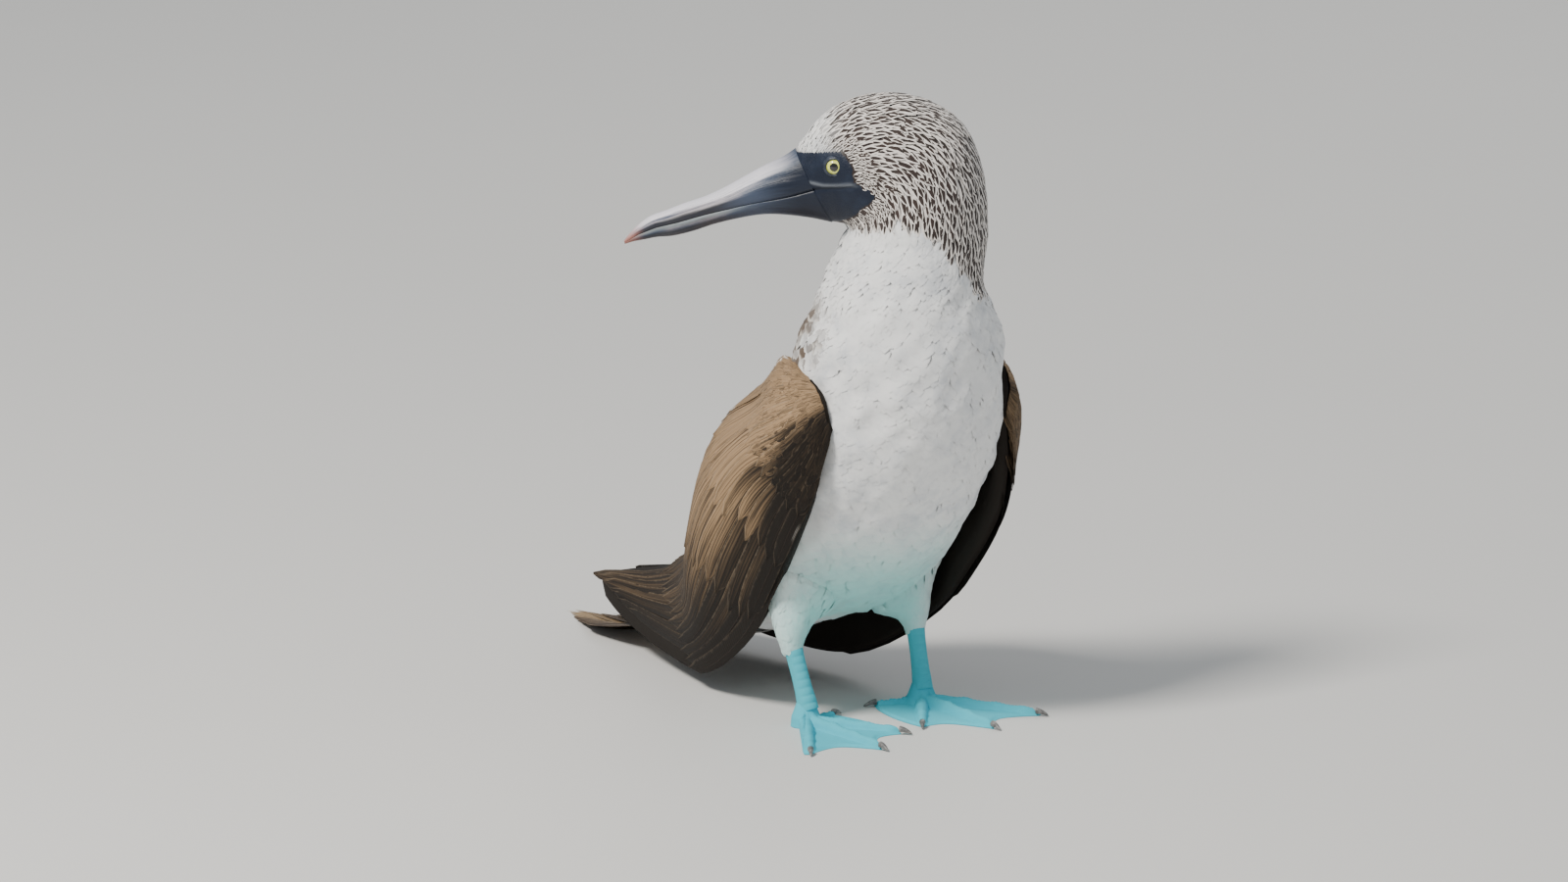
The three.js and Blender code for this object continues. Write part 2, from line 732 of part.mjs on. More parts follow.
const tail = unite([tailPlate(), tailFeathers(1), tailFeathers(-1)]);
add(model, "tail", largest(keep(tail.subtract(clearance), zPlane(0, 1))), COLOURS.tail, 0.85);
for (const [name, leg] of Object.entries(LEGS)) {
  const around = clearance.add(thigh(leg, 2 * GAP));
  const wing = wingShell(leg.side).add(wingFeathers(leg.side)).subtract(around);
  add(model, "wing_" + name, largest(wing), COLOURS.wing, 0.85);
  add(model, "thigh_" + name, largest(thigh(leg).subtract(clearance)), COLOURS.torso, 0.9);
  add(model, "shank_" + name, largest(shank(leg)), COLOURS.leg, 0.55);
  add(model, "foot_" + name, largest(foot(leg)), COLOURS.leg, 0.55);
}

// The frame's origin is the middle of the bottom of the box round the bird.
const box = new THREE.Box3().setFromObject(model, true);
model.position.set(-(box.min.x + box.max.x) / 2, -(box.min.y + box.max.y) / 2, -box.min.z);

export default model;
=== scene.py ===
"""A blue footed booby at life size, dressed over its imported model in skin, feathers, horn and scales."""

import math
from collections import namedtuple

import bpy
import numpy as np
from bpy.props import FloatProperty, FloatVectorProperty, IntProperty, PointerProperty
from mathutils import Matrix, Vector, kdtree


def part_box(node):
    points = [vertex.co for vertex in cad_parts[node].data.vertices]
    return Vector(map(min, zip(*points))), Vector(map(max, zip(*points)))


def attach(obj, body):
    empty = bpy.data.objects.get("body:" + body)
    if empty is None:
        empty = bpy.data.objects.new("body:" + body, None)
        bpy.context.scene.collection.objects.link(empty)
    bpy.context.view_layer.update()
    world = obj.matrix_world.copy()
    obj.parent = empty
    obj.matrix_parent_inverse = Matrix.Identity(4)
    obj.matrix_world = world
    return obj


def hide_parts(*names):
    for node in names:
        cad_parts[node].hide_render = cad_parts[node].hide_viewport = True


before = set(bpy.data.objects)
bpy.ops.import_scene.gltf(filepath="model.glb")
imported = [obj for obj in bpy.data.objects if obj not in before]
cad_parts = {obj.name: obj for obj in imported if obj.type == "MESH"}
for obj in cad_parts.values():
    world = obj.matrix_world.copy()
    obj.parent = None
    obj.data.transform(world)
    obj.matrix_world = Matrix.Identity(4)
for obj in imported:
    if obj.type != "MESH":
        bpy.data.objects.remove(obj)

bl_info = {
    "name": "Blue footed booby",
    "version": (1, 0, 0),
    "blender": (4, 5, 0),
    "location": "View3D > Sidebar > Booby",
    "description": "Dresses the packed bird in skin, feathers, bill, eyes, legs and webbed feet",
    "category": "Object",
}

# Shapes are worked out in millimetres in the bird's own frame: +Z up, breast to -Y, the bird's left to +X.
MM = 0.001
HEAD_TURN = math.radians(58)  # from straight back, round by the bird's right, to where the bill points
HINGE = np.array([-27, -21.3, 275.3])  # corner between the throat and the neck
FORWARD = np.array([-math.sin(HEAD_TURN), math.cos(HEAD_TURN), 0.0])
UP = np.array([0.0, 0.0, 1.0])
ACROSS = np.cross(UP, FORWARD)  # towards the left side of the head

# Rows are x, y, z of a ring's middle, then its half width and half depth, from the rump up to the throat.
TORSO = [
    [0, 134, 36, 9, 6],
    [0, 124, 41, 21, 14],
    [0, 96, 58, 39, 30],
    [0, 64, 84, 54, 46],
    [0, 32, 111, 62, 57],
    [0, 2, 139, 64, 61],
    [0, -22, 167, 62, 58],
    [0, -31.5, 196, 58, 57.5],
    [0, -38.5, 222, 54, 51],
    [-1.5, -40.5, 250, 43.5, 43.5],
    [5.7, -41.7, 275.3, 39, 38.6],
]
# Rings of the head fan out from the throat. Rows are forward and up of the throat end, forward and up of
# the crown end, both from the hinge, and the half width.
HEAD = [
    [0, 0, -77.2, 0, 39],
    [-0.6, 1.2, -76.4, 19, 38.6],
    [-0.7, 2.3, -73, 39, 37.6],
    [-0.4, 3.2, -63.4, 59.5, 36],
    [0.2, 3.9, -46.5, 71.5, 33.8],
    [1.1, 4.4, -26, 76.4, 30.6],
    [2.4, 4.8, -6, 74, 26.4],
    [4.2, 5.2, 11.5, 65, 21.8],
    [5.7, 5.6, 21.8, 52.6, 17.4],
    [7, 6, 26.8, 45.9, 15],
]
# Rows are forward and up of the bill's ridge, forward and up of its underside, and the half width.
BILL = [
    [26.8, 45.9, 7, 6, 15],
    [33.2, 41.6, 20, 8.6, 13.2],
    [43.6, 36.6, 35, 10.2, 11.2],
    [53.7, 31, 46, 10, 9.8],
    [64.9, 24.7, 58.5, 7.8, 8.4],
    [75.5, 19.8, 70.5, 4.8, 7.2],
    [86.7, 16, 82.5, 0.8, 6.2],
    [96.8, 12, 93, -1.7, 5.4],
    [104.5, 9.2, 101.5, -2.4, 4.6],
    [110.5, 5.2, 108.5, -3.8, 3.7],
    [115.5, 0.2, 114.2, -4.9, 2.5],
    [119.4, -4.4, 119, -6.4, 0.8],
]
# The line of the mouth, forward and up from the hinge.
MOUTH = [
    [-6, 30],
    [8, 28],
    [18, 25.8],
    [26.7, 22.8],
    [35.6, 20.2],
    [43.6, 18.5],
    [54.2, 16.4],
    [64.5, 13.7],
    [75.3, 10.9],
    [86, 7.6],
    [91.3, 6.1],
    [101.9, 3.4],
    [112.3, -1],
    [119, -5.5],
    [124, -9],
]
# The edge of the bare skin round the eye and gape, forward and up from the hinge, from forehead to chin.
FACE_EDGE = [
    [26.6, 44.4],
    [22.4, 44.7],
    [17.2, 45.7],
    [13, 46.3],
    [9.3, 47],
    [3.3, 47.6],
    [0.4, 44.9],
    [-2.5, 40.6],
    [-2.7, 35.4],
    [-4, 31.4],
    [-9.1, 30.3],
    [-13.7, 28.1],
    [-14.6, 25.3],
    [-11.6, 21.5],
    [-8.3, 19.4],
    [-4.1, 13.9],
    [0.2, 10.8],
    [3.4, 8.5],
    [6.6, 8.2],
    [12, -4],
    [60, -10],
    [60, 60],
]
# The raised fold of skin over the gape, with a painted highlight along it, forward and up from the hinge.
GAPE_FOLD = [[-2.8, 31.2], [4.1, 30.1], [11.6, 29.4], [18.4, 30.2]]
# Where the streaked feathers of head and nape end over the white neck, forward and up from the hinge.
RUFF = [
    [-72.5, -34.1],
    [-69.7, -28.2],
    [-64, -20.1],
    [-59.3, -13],
    [-54.4, -6.6],
    [-48.2, 0.3],
    [-41.1, 5.8],
    [-30.3, 6.8],
    [-19.2, 5],
    [-11.7, 3.8],
    [-4.2, 3.8],
    [3.6, 5.5],
]
# Each row holds four points across the left wing at one station: upper edge, two of the outer face,
# lower edge. Stations run from the shoulder and wrist to the tip of the longest primary.
WING = [
    [[54, -20, 205], [62, -43, 200], [61, -54, 188], [57, -56, 174]],
    [[44, 10, 203], [65, -12, 194], [76, -34, 168], [61.5, -46, 140]],
    [[27, 44, 190], [54, 27, 176], [80, 2, 149], [64, -28, 110]],
    [[12, 82, 162], [52, 74, 150], [79, 40, 114], [60, -1, 77]],
    [[6, 118, 118], [46, 101, 104], [68, 76, 76], [55, 33, 42]],
    [[5, 146, 80], [36, 130, 70], [54, 106, 46], [48, 91, 11]],
    [[5, 188, 55], [24, 182, 49], [38, 166, 34], [40, 146, 9]],
    [[8, 236, 42], [18, 233, 39], [26, 228, 31], [29, 216, 18]],
    [[13, 264, 35], [15, 264, 34], [17, 263, 33], [19, 261, 31]],
]
# How much further out, forward and up the left wing's lower edge is held, station by station.
LEFT_EDGE = [
    [0, 0, 0],
    [2, -4, 0],
    [4, -8, 0],
    [6, -11, 0],
    [6, -12, 2],
    [3, -6, 1],
    [0, 0, 0],
    [0, 0, 0],
    [0, 0, 0],
]
# Rows are y and z of the tail's underside along its middle.
TAIL_LINE = [
    [104, 47],
    [124, 39.5],
    [150, 30.5],
    [180, 21.6],
    [210, 14.2],
    [240, 8.6],
    [270, 4],
    [296, 0.9],
    [311, 0],
]
EYE = {"forward": 5.1, "up": 40.3, "across": 16.6, "radius": 7.4, "turn": math.radians(8)}
LEGS = {
    "left": {"side": 1, "ankle": (40, 6), "knee": (40, 13), "turn": 4, "thigh": 1.28},
    "right": {"side": -1, "ankle": (-41, -4), "knee": (-45, 4), "turn": 0, "thigh": 1},
}
ANKLE_TOP = 15
THIGH_BOTTOM = 45
# Rows are the share of the knee's distance from the bird's middle, the distance behind it, height, radius.
THIGH = [
    [1, 0, 37, 4.6],
    [1, 0.5, 44, 6.4],
    [0.98, 2, 51, 9.2],
    [0.91, 5, 60, 13.2],
    [0.76, 9, 76, 21],
    [0.66, 14, 98, 26],
    [0.5, 18, 120, 20],
]
# Each toe's direction from straight ahead (outwards positive), length to the claw, radius at root and tip.
TOES = [(30, 72, 4.4, 2.5), (-3, 74, 4.6, 2.6), (-36, 58, 4.2, 2.4), (-112, 27, 3.2, 2.0)]

TORSO_RINGS, HEAD_RINGS, BODY_SIDES = 120, 180, 200
NECK_SHARE = TORSO_RINGS / (TORSO_RINGS + HEAD_RINGS)  # how far along the body sheet the throat lies
THIGH_RINGS, THIGH_SIDES = 60, 64
FILLET = 16.0  # reach of the soft blend between thigh and belly
LUMPS = {"waves": 16, "shortest": 12.0, "longest": 34.0, "height": 0.9, "seed": 7}
TUFTS = {"waves": 26, "shortest": 6.0, "longest": 11.0, "height": 0.32, "seed": 8}
UNEVEN_TOP = (266, 240)  # heights between which that unevenness sets in, from the throat down
SKIN_MAP = (0.02, 0.78)  # the part of the skin's map that the body takes
THIGH_MAPS, THIGH_MAP = (0.80, 0.90), 0.08  # where each thigh starts on it, and how much it takes

# Markings of the plumage, each with the place where it starts to show and the place where it is full.
FOREHEAD = {"forward": (-2, 17), "up": (40, 52), "plain": 0.92}  # from the hinge; the share of streaks lost
NAPE = (-62, -44)  # lower end of the streaks, up from the hinge
MANTLE_TOP = (248, 228)  # upper end of the back's brown
AQUA_REFLECTION = {"height": (126, 66), "behind": (62, 14), "across": (62, 26), "middle": -6}  # painted turquoise reflection on the belly

# Small feathers.
VANE_STEPS = np.array([0.0, 0.3, 0.6, 0.84, 1.0])  # shares of a feather's length at its rows of points
FLOW_STEPS = 4  # small moves from each of those rows to the next
ROOTED = 0.4  # how far under the skin a feather starts
THIGH_COAT = 2.4  # depth of the thigh's feathers
THIGH_ROWS, THIGH_ACROSS = 30, 44  # rows of feathers on a thigh, and feathers in a row
PINCH = 3.0  # round the throat's hinge, where no feathers grow
WING_COVER = 5.0  # from the wing's face, within which the body grows no feathers
MOST_SAG = 1.2  # the deepest hollow that a feather may span
FLOOR_SOFT = 0.6  # height under which feathers settle on the ground
PATCH = 0.003  # width of one feather's patch on the bake's map

# Feathers of the wing. On it, u runs from the shoulder to the tip and v from the upper edge to the lower.
# A tier has u of its first and last root and tip, v of its first and last root, how far the tips draw
# together, half width of a feather, its height over the wing's face, and its camber.
Tier = namedtuple("Tier", "count roots tips across draw half rise camber")
WING_TIERS = [
    Tier(10, (0.44, 0.52), (0.998, 0.84), (0.30, 0.88), 0.75, 5.6, -2.6, 0.35),
    Tier(20, (0.30, 0.34), (0.74, 0.66), (0.05, 0.95), 1.0, 5.8, -1.6, 0.4),
    Tier(21, (0.18, 0.20), (0.53, 0.47), (0.06, 0.95), 1.0, 5.6, -0.9, 0.35),
    Tier(22, (0.09, 0.10), (0.37, 0.32), (0.06, 0.95), 1.0, 5.2, -0.2, 0.35),
    Tier(24, (0.03, 0.03), (0.24, 0.20), (0.06, 0.95), 1.0, 4.6, 0.4, 0.3),
]
TIER_ROOT = -4.0  # how far under the wing's face a long feather starts
# Scapulars, then the lesser coverts, and the wing's own body with how far it lies under the face.
SCAPULARS = {"bands": 5, "count": 20, "u": (0.03, 0.30), "v": (0.01, 0.33), "half": 3.8}
LESSER = {"across": 32, "start": 0.010, "step": 0.0135, "reach": 0.05, "half": 2.8}
WING_BODY = {"rows": 80, "columns": 30, "end": 0.93, "under": 3.4}
# The border between the wing's tan upper part, partly painted sunlight, and the dark part below and in
# front, partly painted shade.
SUNLIT = [
    [0, 0.64],
    [0.1, 0.66],
    [0.2, 0.73],
    [0.3, 0.8],
    [0.38, 0.82],
    [0.5, 0.81],
    [0.6, 0.78],
    [0.8, 0.7],
    [1, 0.6],
]
# The thin white line behind the shoulder.
SHOULDER = [[0.1, 0.05], [0.19, 0.15], [0.3, 0.17], [0.335, 0.25], [0.375, 0.36]]

TAIL_HALF = 34.0  # half width of the sheet that the tail's feathers lie on
# Pairs of tail feathers, with y of the roots and of the longest tip, and the step back from tip to tip.
TAIL_PAIRS = {"count": 7, "root": 116, "tip": 310, "step": 8.6, "spread": (2.2, 3.3), "half": 7.6}
TAIL_COVERTS = {"count": 300, "reach": 0.16, "half": 4.4}

BILL_RINGS, BILL_SIDES = 120, 49
LIP_GAP = 0.006  # share of the bill's height left between each half and the mouth's line
# Rings of the lid from its inner edge out: angle past the iris, and height over the ball.
LID_TURN = [0.02, -0.02, -0.01, 0.03, 0.09, 0.18, 0.3, 0.42, 0.56, 0.75, 1.0, 0.5]
LID_REACH = [0.05, 0.28, 0.62, 0.85, 0.9, 0.8, 0.55, 0.1, -0.5, -1.5, -2.8, -1.2]
BALL_RINGS, BALL_SIDES, LID_SIDES = 48, 64, 72
CORNEA = 0.35  # how far the cornea stands out from the ball

# Height and radius of the bare shank.
SHANK = [(9, 5.6), (15, 5.3), (20, 4.85), (28, 4.65), (36, 4.75), (45, 5.2), (55, 5.6)]
SHANK_RINGS, SHANK_SIDES = 90, 48
SCUTE = 4.2  # height of one scute
ANKLE = 14.7  # height of the foot's upper end
HUB = (4.4, 11.0)  # radius of the ankle where it starts to spread, and where it meets the foot
SOLE = 0.02  # height of the sole over the ground
HEEL = 9.0  # reach of the sole behind the ankle
FOOT_SIDES, FOOT_RINGS = 300, 60
TOE_SIDES, TOE_SPREAD = 21, 7  # more points along each toe, within so many degrees of it
CLAW = {"length": 7.2, "root": 1.7}

FLOOR_HALF = 60000.0  # half width of the floor
LIT_MIDDLE = Vector((0, 0, 0.18))  # where the lights aim, in metres
CAMERA_AIM = (-48.4, 6.7, 157.4)  # the middle of the view
# Each light's name, place in metres, size, power and tint.
LIGHTS = [
    ("key", (-2.1, -0.6, 2.7), 0.8, 145.0, (1.0, 0.96, 0.90)),
    ("fill", (0.6, -3.2, 1.2), 2.4, 9.0, (0.88, 0.94, 1.0)),
    ("rim", (1.8, 1.6, 1.9), 1.4, 16.0, (1.0, 0.98, 0.95)),
]


def in_head(f, u, a=0.0):
    """A point forward, up and to the left of the throat's hinge, along the turned head."""
    f, u, a = (np.asarray(x, float)[..., None] for x in (f, u, a))
    return HINGE + FORWARD * f + UP * u + ACROSS * a


def eye_middle(side):
    return in_head(EYE["forward"], EYE["up"], side * EYE["across"])


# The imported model's frame, found from where its left eye lies.
LOW, HIGH = (np.array(corner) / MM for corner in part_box("eye_left"))
ORIGIN = (LOW + HIGH) / 2 - eye_middle(1)


def smooth(start, end, x):
    """Rises smoothly from 0 at start to 1 at end, whichever is larger."""
    t = np.clip((np.asarray(x, float) - start) / (end - start), 0, 1)
    return t * t * (3 - 2 * t)


def bell(x, width):
    return np.exp(-((x / width) ** 2))


def rows_at(rows, t):
    """The rows of a table at t from 0 to 1 along it, every column smoothed."""
    rows = np.asarray(rows, float)
    place = np.clip(np.asarray(t, float), 0, 1) * (len(rows) - 1)
    i = np.minimum(place.astype(int), len(rows) - 2)
    s = (place - i).reshape(place.shape + (1,) * (rows.ndim - 1))
    a, b, c, d = (rows[np.clip(i + k, 0, len(rows) - 1)] for k in (-1, 0, 1, 2))
    into, out = (c - a) / 2, (d - b) / 2
    return ((2 * (b - c) + into + out) * s + 3 * (c - b) - 2 * into - out) * s**2 + into * s + b


def line_at(line, x):
    """Height of a line of points at x, both given as forward and up."""
    line = np.array(line, float)
    return np.interp(x, line[:, 0], line[:, 1])


def between(ends, share):
    """The value at some share of the way between two."""
    return ends[0] + (ends[1] - ends[0]) * share


def unit(v):
    return v / np.maximum(np.linalg.norm(v, axis=-1, keepdims=True), 1e-9)


class Sheet:
    """A sampled surface with normals: u runs along it and v across it, both from 0 to 1."""

    def __init__(self, points, wrap=False, flip=1):
        self.points, self.wrap = points, wrap
        rows, columns = points.shape[:2]
        along = np.gradient(points, axis=0)
        over = np.gradient(points, axis=1)
        if wrap:
            over = (np.roll(points, -1, 1) - np.roll(points, 1, 1)) / 2
        self.normals = unit(np.cross(over, along)) * flip
        self.long = np.maximum(np.linalg.norm(along, axis=-1) * (rows - 1), 1e-3)
        self.wide = np.maximum(np.linalg.norm(over, axis=-1) * (columns if wrap else columns - 1), 1e-3)

    def at(self, values, u, v):
        """Values of the sheet at u and v."""
        rows, columns = values.shape[:2]
        x = np.clip(u, 0, 1) * (rows - 1)
        i = np.minimum(x.astype(int), rows - 2)
        if self.wrap:
            y = (v % 1.0) * columns
            j = np.floor(y).astype(int)
            fy = y - j
            j, k = j % columns, (j + 1) % columns
        else:
            y = np.clip(v, 0, 1) * (columns - 1)
            j = np.minimum(y.astype(int), columns - 2)
            fy, k = y - j, j + 1
        fx = x - i
        if values.ndim == 3:
            fx, fy = fx[..., None], fy[..., None]
        near = values[i, j] * (1 - fy) + values[i, k] * fy
        far = values[i + 1, j] * (1 - fy) + values[i + 1, k] * fy
        return near * (1 - fx) + far * fx

    def raised(self, height):
        """The same sheet with its points moved out along their normals."""
        made = Sheet(self.points + self.normals * height[..., None], self.wrap)
        made.normals *= np.sign((made.normals * self.normals).sum())
        return made


def turns_of(sides):
    return np.linspace(0, 2 * math.pi, sides, endpoint=False)


def body_points():
    """The outer form of rump, body, neck and head as rings of one sheet."""
    t = np.linspace(0, 1, TORSO_RINGS + 1)
    turn = math.atan2(-FORWARD[1], -FORWARD[0]) + turns_of(BODY_SIDES)
    rows = rows_at(TORSO, t)
    run = rows_at(TORSO, t + 0.01)[:, 1:3] - rows_at(TORSO, t - 0.01)[:, 1:3]
    back = unit(np.stack([0 * t, run[:, 1], -run[:, 0]], 1))
    side = np.array([1.0, 0, 0])
    sideways = side * (rows[:, 3:4] * np.cos(turn))[..., None]
    torso = rows[:, None, :3] + sideways + back[:, None] * (rows[:, 4:5] * np.sin(turn))[..., None]
    rows = rows_at(HEAD, np.linspace(0, 1, HEAD_RINGS + 1)[1:])
    inner, outer = in_head(rows[:, 0], rows[:, 1]), in_head(rows[:, 2], rows[:, 3])
    middle, reach = (inner + outer)[:, None] / 2, (outer - inner)[:, None] / 2
    around = turns_of(BODY_SIDES)
    sideways = ACROSS * (rows[:, 4:5] * np.sin(around))[..., None]
    return np.concatenate([torso, middle + reach * np.cos(around)[:, None] - sideways])


def wing_points(side, rows=160, columns=60):
    table = np.array(WING, float)
    if side > 0:
        table[:, 3] += LEFT_EDGE
    stations = rows_at(table, np.linspace(0, 1, rows))
    across = rows_at(stations.swapaxes(0, 1), np.linspace(0, 1, columns))
    return across.swapaxes(0, 1) * np.array([side, 1, 1])


def tail_points(rows=120, columns=60):
    """The underside of the tail, wider than its feathers, u from root to tip and v from right to left."""
    points = np.zeros((rows, columns, 3))
    points[..., 0] = np.linspace(-TAIL_HALF, TAIL_HALF, columns)
    points[..., 1:] = rows_at(TAIL_LINE, np.linspace(0, 1, rows))[:, None]
    return points


def limb(points, radii, sides):
    """Rings along a run of points, each with its own radius."""
    points = np.asarray(points, float)
    along = unit(np.gradient(points, axis=0))
    guide = np.where(np.abs(along[:, 2:]) > 0.8, [[0.0, 1, 0]], [[0.0, 0, 1]])
    first = unit(np.cross(guide, along))
    second = np.cross(along, first)
    turn = turns_of(sides)
    radii = np.asarray(radii, float)[:, None, None]
    spokes = first[:, None] * np.cos(turn)[:, None] + second[:, None] * np.sin(turn)[:, None]
    return points[:, None] + spokes * radii


def thigh_rows(leg):
    """Middle and radius of a thigh at each ring, from the knee up."""
    kx, ky = leg["knee"]
    rows = []
    for i, (share, behind, z, radius) in enumerate(THIGH):
        swell = 1 + (leg["thigh"] - 1) * min(max(i - 1, 0) / 2, 1)
        rows.append([kx * share, ky + behind, z, radius * swell])
    return rows_at(rows, np.linspace(0, 1, THIGH_RINGS))


def outside_thighs(points):
    """Distance in mm outside the nearer thigh, negative within it."""
    best = np.full(points.shape[:-1], 1e9)
    for leg in LEGS.values():
        for row in thigh_rows(leg)[::3]:
            best = np.minimum(best, np.linalg.norm(points - row[:3], axis=-1) - row[3])
    return best


def fillet(distance):
    """How far two forms swell where they blend into each other."""
    return FILLET / 4 * np.maximum(1 - np.abs(distance) / FILLET, 0) ** 2


def lumps(points, form):
    """The soft unevenness of the small feathers over the breast and belly."""
    rng = np.random.default_rng(form["seed"])
    total = np.zeros(points.shape[:-1])
    for _ in range(form["waves"]):
        wave = unit(rng.normal(size=3)) * 2 * math.pi / rng.uniform(form["shortest"], form["longest"])
        total += np.sin(points @ wave + rng.uniform(0, 2 * math.pi))
    return total * form["height"] / math.sqrt(form["waves"])


def tree_of(points):
    """A tree that finds the nearest of some points."""
    tree = kdtree.KDTree(len(points))
    for i, p in enumerate(points):
        tree.insert(p, i)
    tree.balance()
    return tree


def unfolded(points, reach=8, passes=30):
    """The same rings, spread out where they crowd and fold in a hollow of the back or nape."""
    for _ in range(passes):
        padded = np.pad(points, ((reach, reach), (0, 0), (0, 0)), mode="edge")
        far = padded[2 * reach :] - padded[: -2 * reach]
        evenness = (np.gradient(points, axis=0) * far).sum(-1) * 2 * reach / ((far * far).sum(-1) + 1e-6)
        crowded = smooth(0.5, 0.15, evenness)[1:-1]
        beyond = np.maximum(crowded, np.maximum(np.roll(crowded, 1, 0), np.roll(crowded, -1, 0)))
        middle = (points[2:] + points[:-2]) / 2
        inner = points[1:-1] + (middle - points[1:-1]) * beyond[..., None]
        points = np.concatenate([points[:1], inner, points[-1:]])
    return points


FORM = Sheet(unfolded(body_points()), wrap=True)
BODY = FORM.raised(fillet(outside_thighs(FORM.points)))
UNEVEN = lumps(BODY.points, LUMPS) + lumps(BODY.points, TUFTS)
BODY = BODY.raised(UNEVEN * smooth(*UNEVEN_TOP, BODY.points[..., 2]))
WINGS = {side: Sheet(wing_points(side), flip=side) for side in (1, -1)}
TAIL = Sheet(tail_points(), flip=-1)
BODY_SAMPLE = BODY.points[::2, ::2].reshape(-1, 3)
BODY_NORMALS = BODY.normals[::2, ::2].reshape(-1, 3)
BODY_TREE = tree_of(BODY_SAMPLE)


def beside(points, tree, sample, normals):
    """Distance in mm outside a sampled form, negative within it, and the form's normals there."""
    flat = points.reshape(-1, 3)
    nearest = np.array([tree.find(p)[1] for p in flat])
    away = ((flat - sample[nearest]) * normals[nearest]).sum(-1)
    return away.reshape(points.shape[:-1]), normals[nearest].reshape(points.shape)


def outside_body(points):
    return beside(points, BODY_TREE, BODY_SAMPLE, BODY_NORMALS)[0]


def lean(sheet, tree, sample, normals):
    """Turns a sheet's normals towards those of the form that it blends into."""
    away, theirs = beside(sheet.points, tree, sample, normals)
    share = 0.5 * smooth(FILLET, 0, np.abs(away))[..., None]
    sheet.normals = unit(sheet.normals * (1 - share) + theirs * share)


def thigh_sheet(leg):
    rows = thigh_rows(leg)
    sheet = Sheet(limb(rows[:, :3], rows[:, 3], THIGH_SIDES), wrap=True)
    sheet.normals *= np.sign(((sheet.points - rows[:, None, :3]) * sheet.normals).sum())
    return sheet.raised(fillet(outside_body(sheet.points)))


THIGHS = {name: thigh_sheet(leg) for name, leg in LEGS.items()}
THIGH_SAMPLE = np.concatenate([sheet.points.reshape(-1, 3) for sheet in THIGHS.values()])
THIGH_NORMALS = np.concatenate([sheet.normals.reshape(-1, 3) for sheet in THIGHS.values()])
for thigh in THIGHS.values():
    lean(thigh, BODY_TREE, BODY_SAMPLE, BODY_NORMALS)
lean(BODY, tree_of(THIGH_SAMPLE), THIGH_SAMPLE, THIGH_NORMALS)


def head_place(points):
    """How far points lie forward and up from the throat's hinge, and to the left of the head's middle."""
    away = points - HINGE
    return away @ FORWARD, away[..., 2], away @ ACROSS


def outside_face(points):
    """Distance in mm outside the edge of the face's bare skin, negative on the skin."""
    f, g, _ = head_place(points)
    spots = np.stack([f, g], -1)
    edge = np.array(FACE_EDGE, float)
    best = np.full(f.shape, 1e9)
    inside = np.zeros(f.shape, bool)
    for a, b in zip(edge, np.roll(edge, -1, 0)):
        run = b - a
        t = np.clip(((spots - a) @ run) / (run @ run), 0, 1)
        best = np.minimum(best, np.linalg.norm(spots - a - t[..., None] * run, axis=-1))
        rise = run[1] if abs(run[1]) > 1e-9 else 1e-9
        crosses = (a[1] > g) != (b[1] > g)
        inside ^= crosses & (f < run[0] * (g - a[1]) / rise + a[0])
    return np.where(inside, -best, best)


def coat_depth(u, points, body, head):
    """Depth of the feathers at points u along the body: that of body or head, thin beside the face."""
    depth = head + (body - head) * smooth(NECK_SHARE + 0.1, NECK_SHARE - 0.08, u)
    return depth * (0.25 + 0.75 * smooth(0, 9, outside_face(points)))


def above_ruff(points):
    """Height in mm above the lower border of the streaked feathers."""
    f, g, _ = head_place(points)
    return g - line_at(RUFF, f)


def markings(points, normals):
    """Streaks of the head and nape, brown of the mantle and the painted turquoise reflection on the belly,
    each 0 to 1.
    """
    f, g, _ = head_place(points)
    x, y, z = np.moveaxis(points, -1, 0)
    forehead = smooth(*FOREHEAD["forward"], f) * smooth(*FOREHEAD["up"], g)
    streaks = smooth(-1.2, 1.2, above_ruff(points)) * (1 - FOREHEAD["plain"] * forehead)
    streaks = streaks * smooth(*NAPE, g)
    dorsal = smooth(0.1, 0.5, normals[..., 1] + 0.5 * normals[..., 2])
    brown = dorsal * smooth(*MANTLE_TOP, z)
    # Painted turquoise reflection: strongest low on the front of the belly, weaker towards the sides.
    aqua_reflection = smooth(*AQUA_REFLECTION["height"], z) * smooth(*AQUA_REFLECTION["behind"], y)
    aqua_reflection = aqua_reflection * (0.25 + 0.75 * smooth(*AQUA_REFLECTION["across"], np.abs(x - AQUA_REFLECTION["middle"])))
    return np.stack([streaks, brown, aqua_reflection], -1)


def facing_out(verts, faces):
    """The faces of one closed body, all turned over where they face in."""
    volume = 0.0
    for f in faces:
        corners = [verts[f[:, k]] for k in range(f.shape[1])]
        for b, c in zip(corners[1:], corners[2:]):
            volume += (corners[0] * np.cross(b, c)).sum()
    return faces if volume > 0 else [f[:, ::-1] for f in faces]


